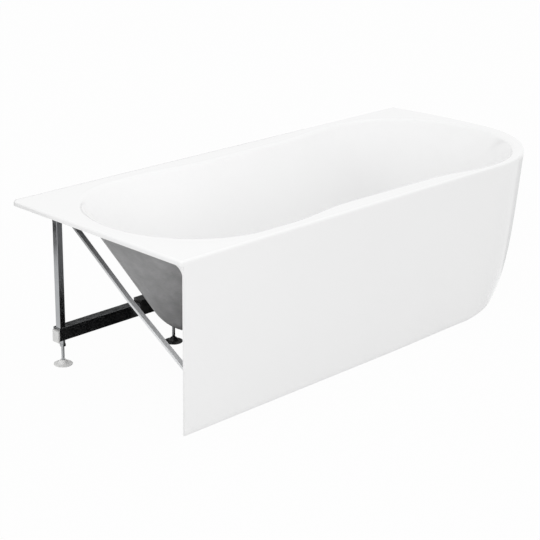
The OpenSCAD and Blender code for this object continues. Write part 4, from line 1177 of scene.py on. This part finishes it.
def camera_matrix():
    """The photograph's viewing angle: yaw from +Y towards +X, pitch down, and a small roll."""
    yaw, pitch, roll = CAMERA_YAW, CAMERA_PITCH, CAMERA_ROLL
    ahead = Vector((sin(yaw) * cos(pitch), cos(yaw) * cos(pitch), -sin(pitch)))
    level = Vector((cos(yaw), -sin(yaw), 0.0))
    up = level.cross(ahead)
    right = cos(roll) * level + sin(roll) * up
    above = -sin(roll) * level + cos(roll) * up
    turn = Matrix((right, above, -ahead)).transposed().to_4x4()
    return Matrix.Translation(CAMERA_PLACE) @ turn


def stage_piece(name, mesh, shade):
    """A matt piece of the stage, and the nodes of its material."""
    material = bpy.data.materials.new(name)
    nodes = NodeWork(material)
    nodes.set({"Base Color": (*shade, 1.0), "Roughness": STAGE_ROUGH,
               "Specular IOR Level": STAGE_SPECULAR})
    mesh.materials.append(material)
    piece = put(name, mesh)
    return piece, nodes


def make_floor(shade):
    """A wide floor that shows as near white, but keeps the shadow of the bath."""
    mesh = bpy.data.meshes.new("floor")
    form = bmesh.new()
    bmesh.ops.create_circle(form, cap_ends=True, segments=FLOOR_SIDES, radius=FLOOR_RADIUS)
    form.to_mesh(mesh)
    form.free()
    floor, nodes = stage_piece("floor", mesh, shade)
    floor.location.z = FLOOR_Z
    nodes.cover(nodes.add("ShaderNodeEmission"),
                nodes.reckon("MULTIPLY", nodes.seen_directly(), FLOOR_GLOW))


def make_card(name, corners, shade):
    """A card that bright metal mirrors, as painted shade under the bowl and as painted reflection
    elsewhere; it is clear from behind and to the camera.
    """
    mesh = bpy.data.meshes.new(name)
    mesh.from_pydata(corners, [], [(0, 1, 2, 3)])
    card, nodes = stage_piece(name, mesh, shade)
    nodes.cover(nodes.add("ShaderNodeBsdfTransparent"),
                nodes.add("ShaderNodeNewGeometry").outputs["Backfacing"])
    card.visible_camera = False
    return card


def make_world(ambient):
    """A white room that lights the bath by its ambient strength, and shows as plain white."""
    world = bpy.data.worlds.new("studio")
    nodes = NodeWork(world, "Background", "World Output")
    nodes.set({"Color": (*WHITE, 1.0), "Strength": ambient})
    nodes.cover(nodes.add("ShaderNodeBackground", Color=(*WHITE, 1.0), Strength=1.0),
                nodes.seen_directly())
    bpy.context.scene.world = world


def add_lamp(name, place, target, watts):
    """A soft round lamp that neither the camera nor the metal shows."""
    data = bpy.data.lights.new(name, "AREA")
    data.shape = "DISK"
    data.size = LAMP_SIZE
    data.energy = watts
    lamp = put(name, data)
    lamp.location = place
    lamp.rotation_euler = (Vector(target) - Vector(place)).to_track_quat("-Z", "Y").to_euler()
    lamp.visible_camera = False
    lamp.visible_glossy = False


class BATH_OT_stage(bpy.types.Operator):
    """Makes the pale floor, the soft light and the camera"""

    bl_idname = "bath.stage"
    bl_label = "Stage"

    def execute(self, context):
        scene = context.scene
        stage = scene.bath_stage
        make_world(stage.ambient)
        make_floor(stage.floor)
        # Painted shade: a dark card under the bowl that darkens the bowl's underside and what the
        # steel mirrors there
        make_card("floor_card", FLOOR_CARD, stage.dark_card)
        # Painted reflections: cards that neither the camera nor the diffuse light sees
        for name, corners, shade in (("back_card", BACK_CARD, stage.dark_card),
                                     ("side_card", SIDE_CARD, stage.grey_card)):
            mirrored = make_card(name, corners, shade)
            mirrored.visible_diffuse = False
            mirrored.visible_shadow = False
        for name, place, target in LAMPS:
            add_lamp(name.replace("_", " "), place, target, getattr(stage, name))
        camera = put("camera", bpy.data.cameras.new("camera"))
        camera.data.sensor_width = SENSOR
        camera.data.lens = stage.lens
        camera.data.clip_end = CLIP_END
        camera.matrix_world = camera_matrix()
        scene.camera = camera
        scene.view_settings.view_transform = "Standard"
        return {"FINISHED"}


# Panel and registration

PIECES = (BATH_OT_hose, BATH_OT_cable, BATH_OT_shell, BATH_OT_backing, BATH_OT_apron,
          BATH_OT_steel, BATH_OT_boards, BATH_OT_studs, BATH_OT_nuts, BATH_OT_pads,
          BATH_OT_waste)


class BATH_PT_panel(bpy.types.Panel):
    """Lists the bath's pieces and their settings"""

    bl_idname = "BATH_PT_panel"
    bl_label = "Bathtub"
    bl_space_type = "VIEW_3D"
    bl_region_type = "UI"
    bl_category = "Bathtub"

    def draw(self, context):
        layout = self.layout
        for operator in (BATH_OT_stage,) + PIECES:
            layout.operator(operator.bl_idname)
        for key in SETTINGS:
            box = layout.box()
            group = getattr(context.scene, key)
            box.label(text=SETTINGS[key].__doc__)
            for name in SETTINGS[key].__annotations__:
                box.prop(group, name)


SETTINGS = {
    "bath_tub": BathTubShape,
    "bath_apron": BathApronShape,
    "bath_fittings": BathFittings,
    "bath_colours": BathColours,
    "bath_stage": BathStage,
}
CLASSES = tuple(SETTINGS.values()) + (BATH_OT_stage,) + PIECES + (BATH_PT_panel,)


def register():
    for cls in CLASSES:
        bpy.utils.register_class(cls)
    for key, group in SETTINGS.items():
        setattr(bpy.types.Scene, key, PointerProperty(type=group))


def unregister():
    for key in SETTINGS:
        delattr(bpy.types.Scene, key)
    for cls in reversed(CLASSES):
        bpy.utils.unregister_class(cls)


def main():
    register()
    for operator in (BATH_OT_stage,) + PIECES:
        area, action = operator.bl_idname.split(".")
        getattr(getattr(bpy.ops, area), action)()


if __name__ == "__main__":
    main()
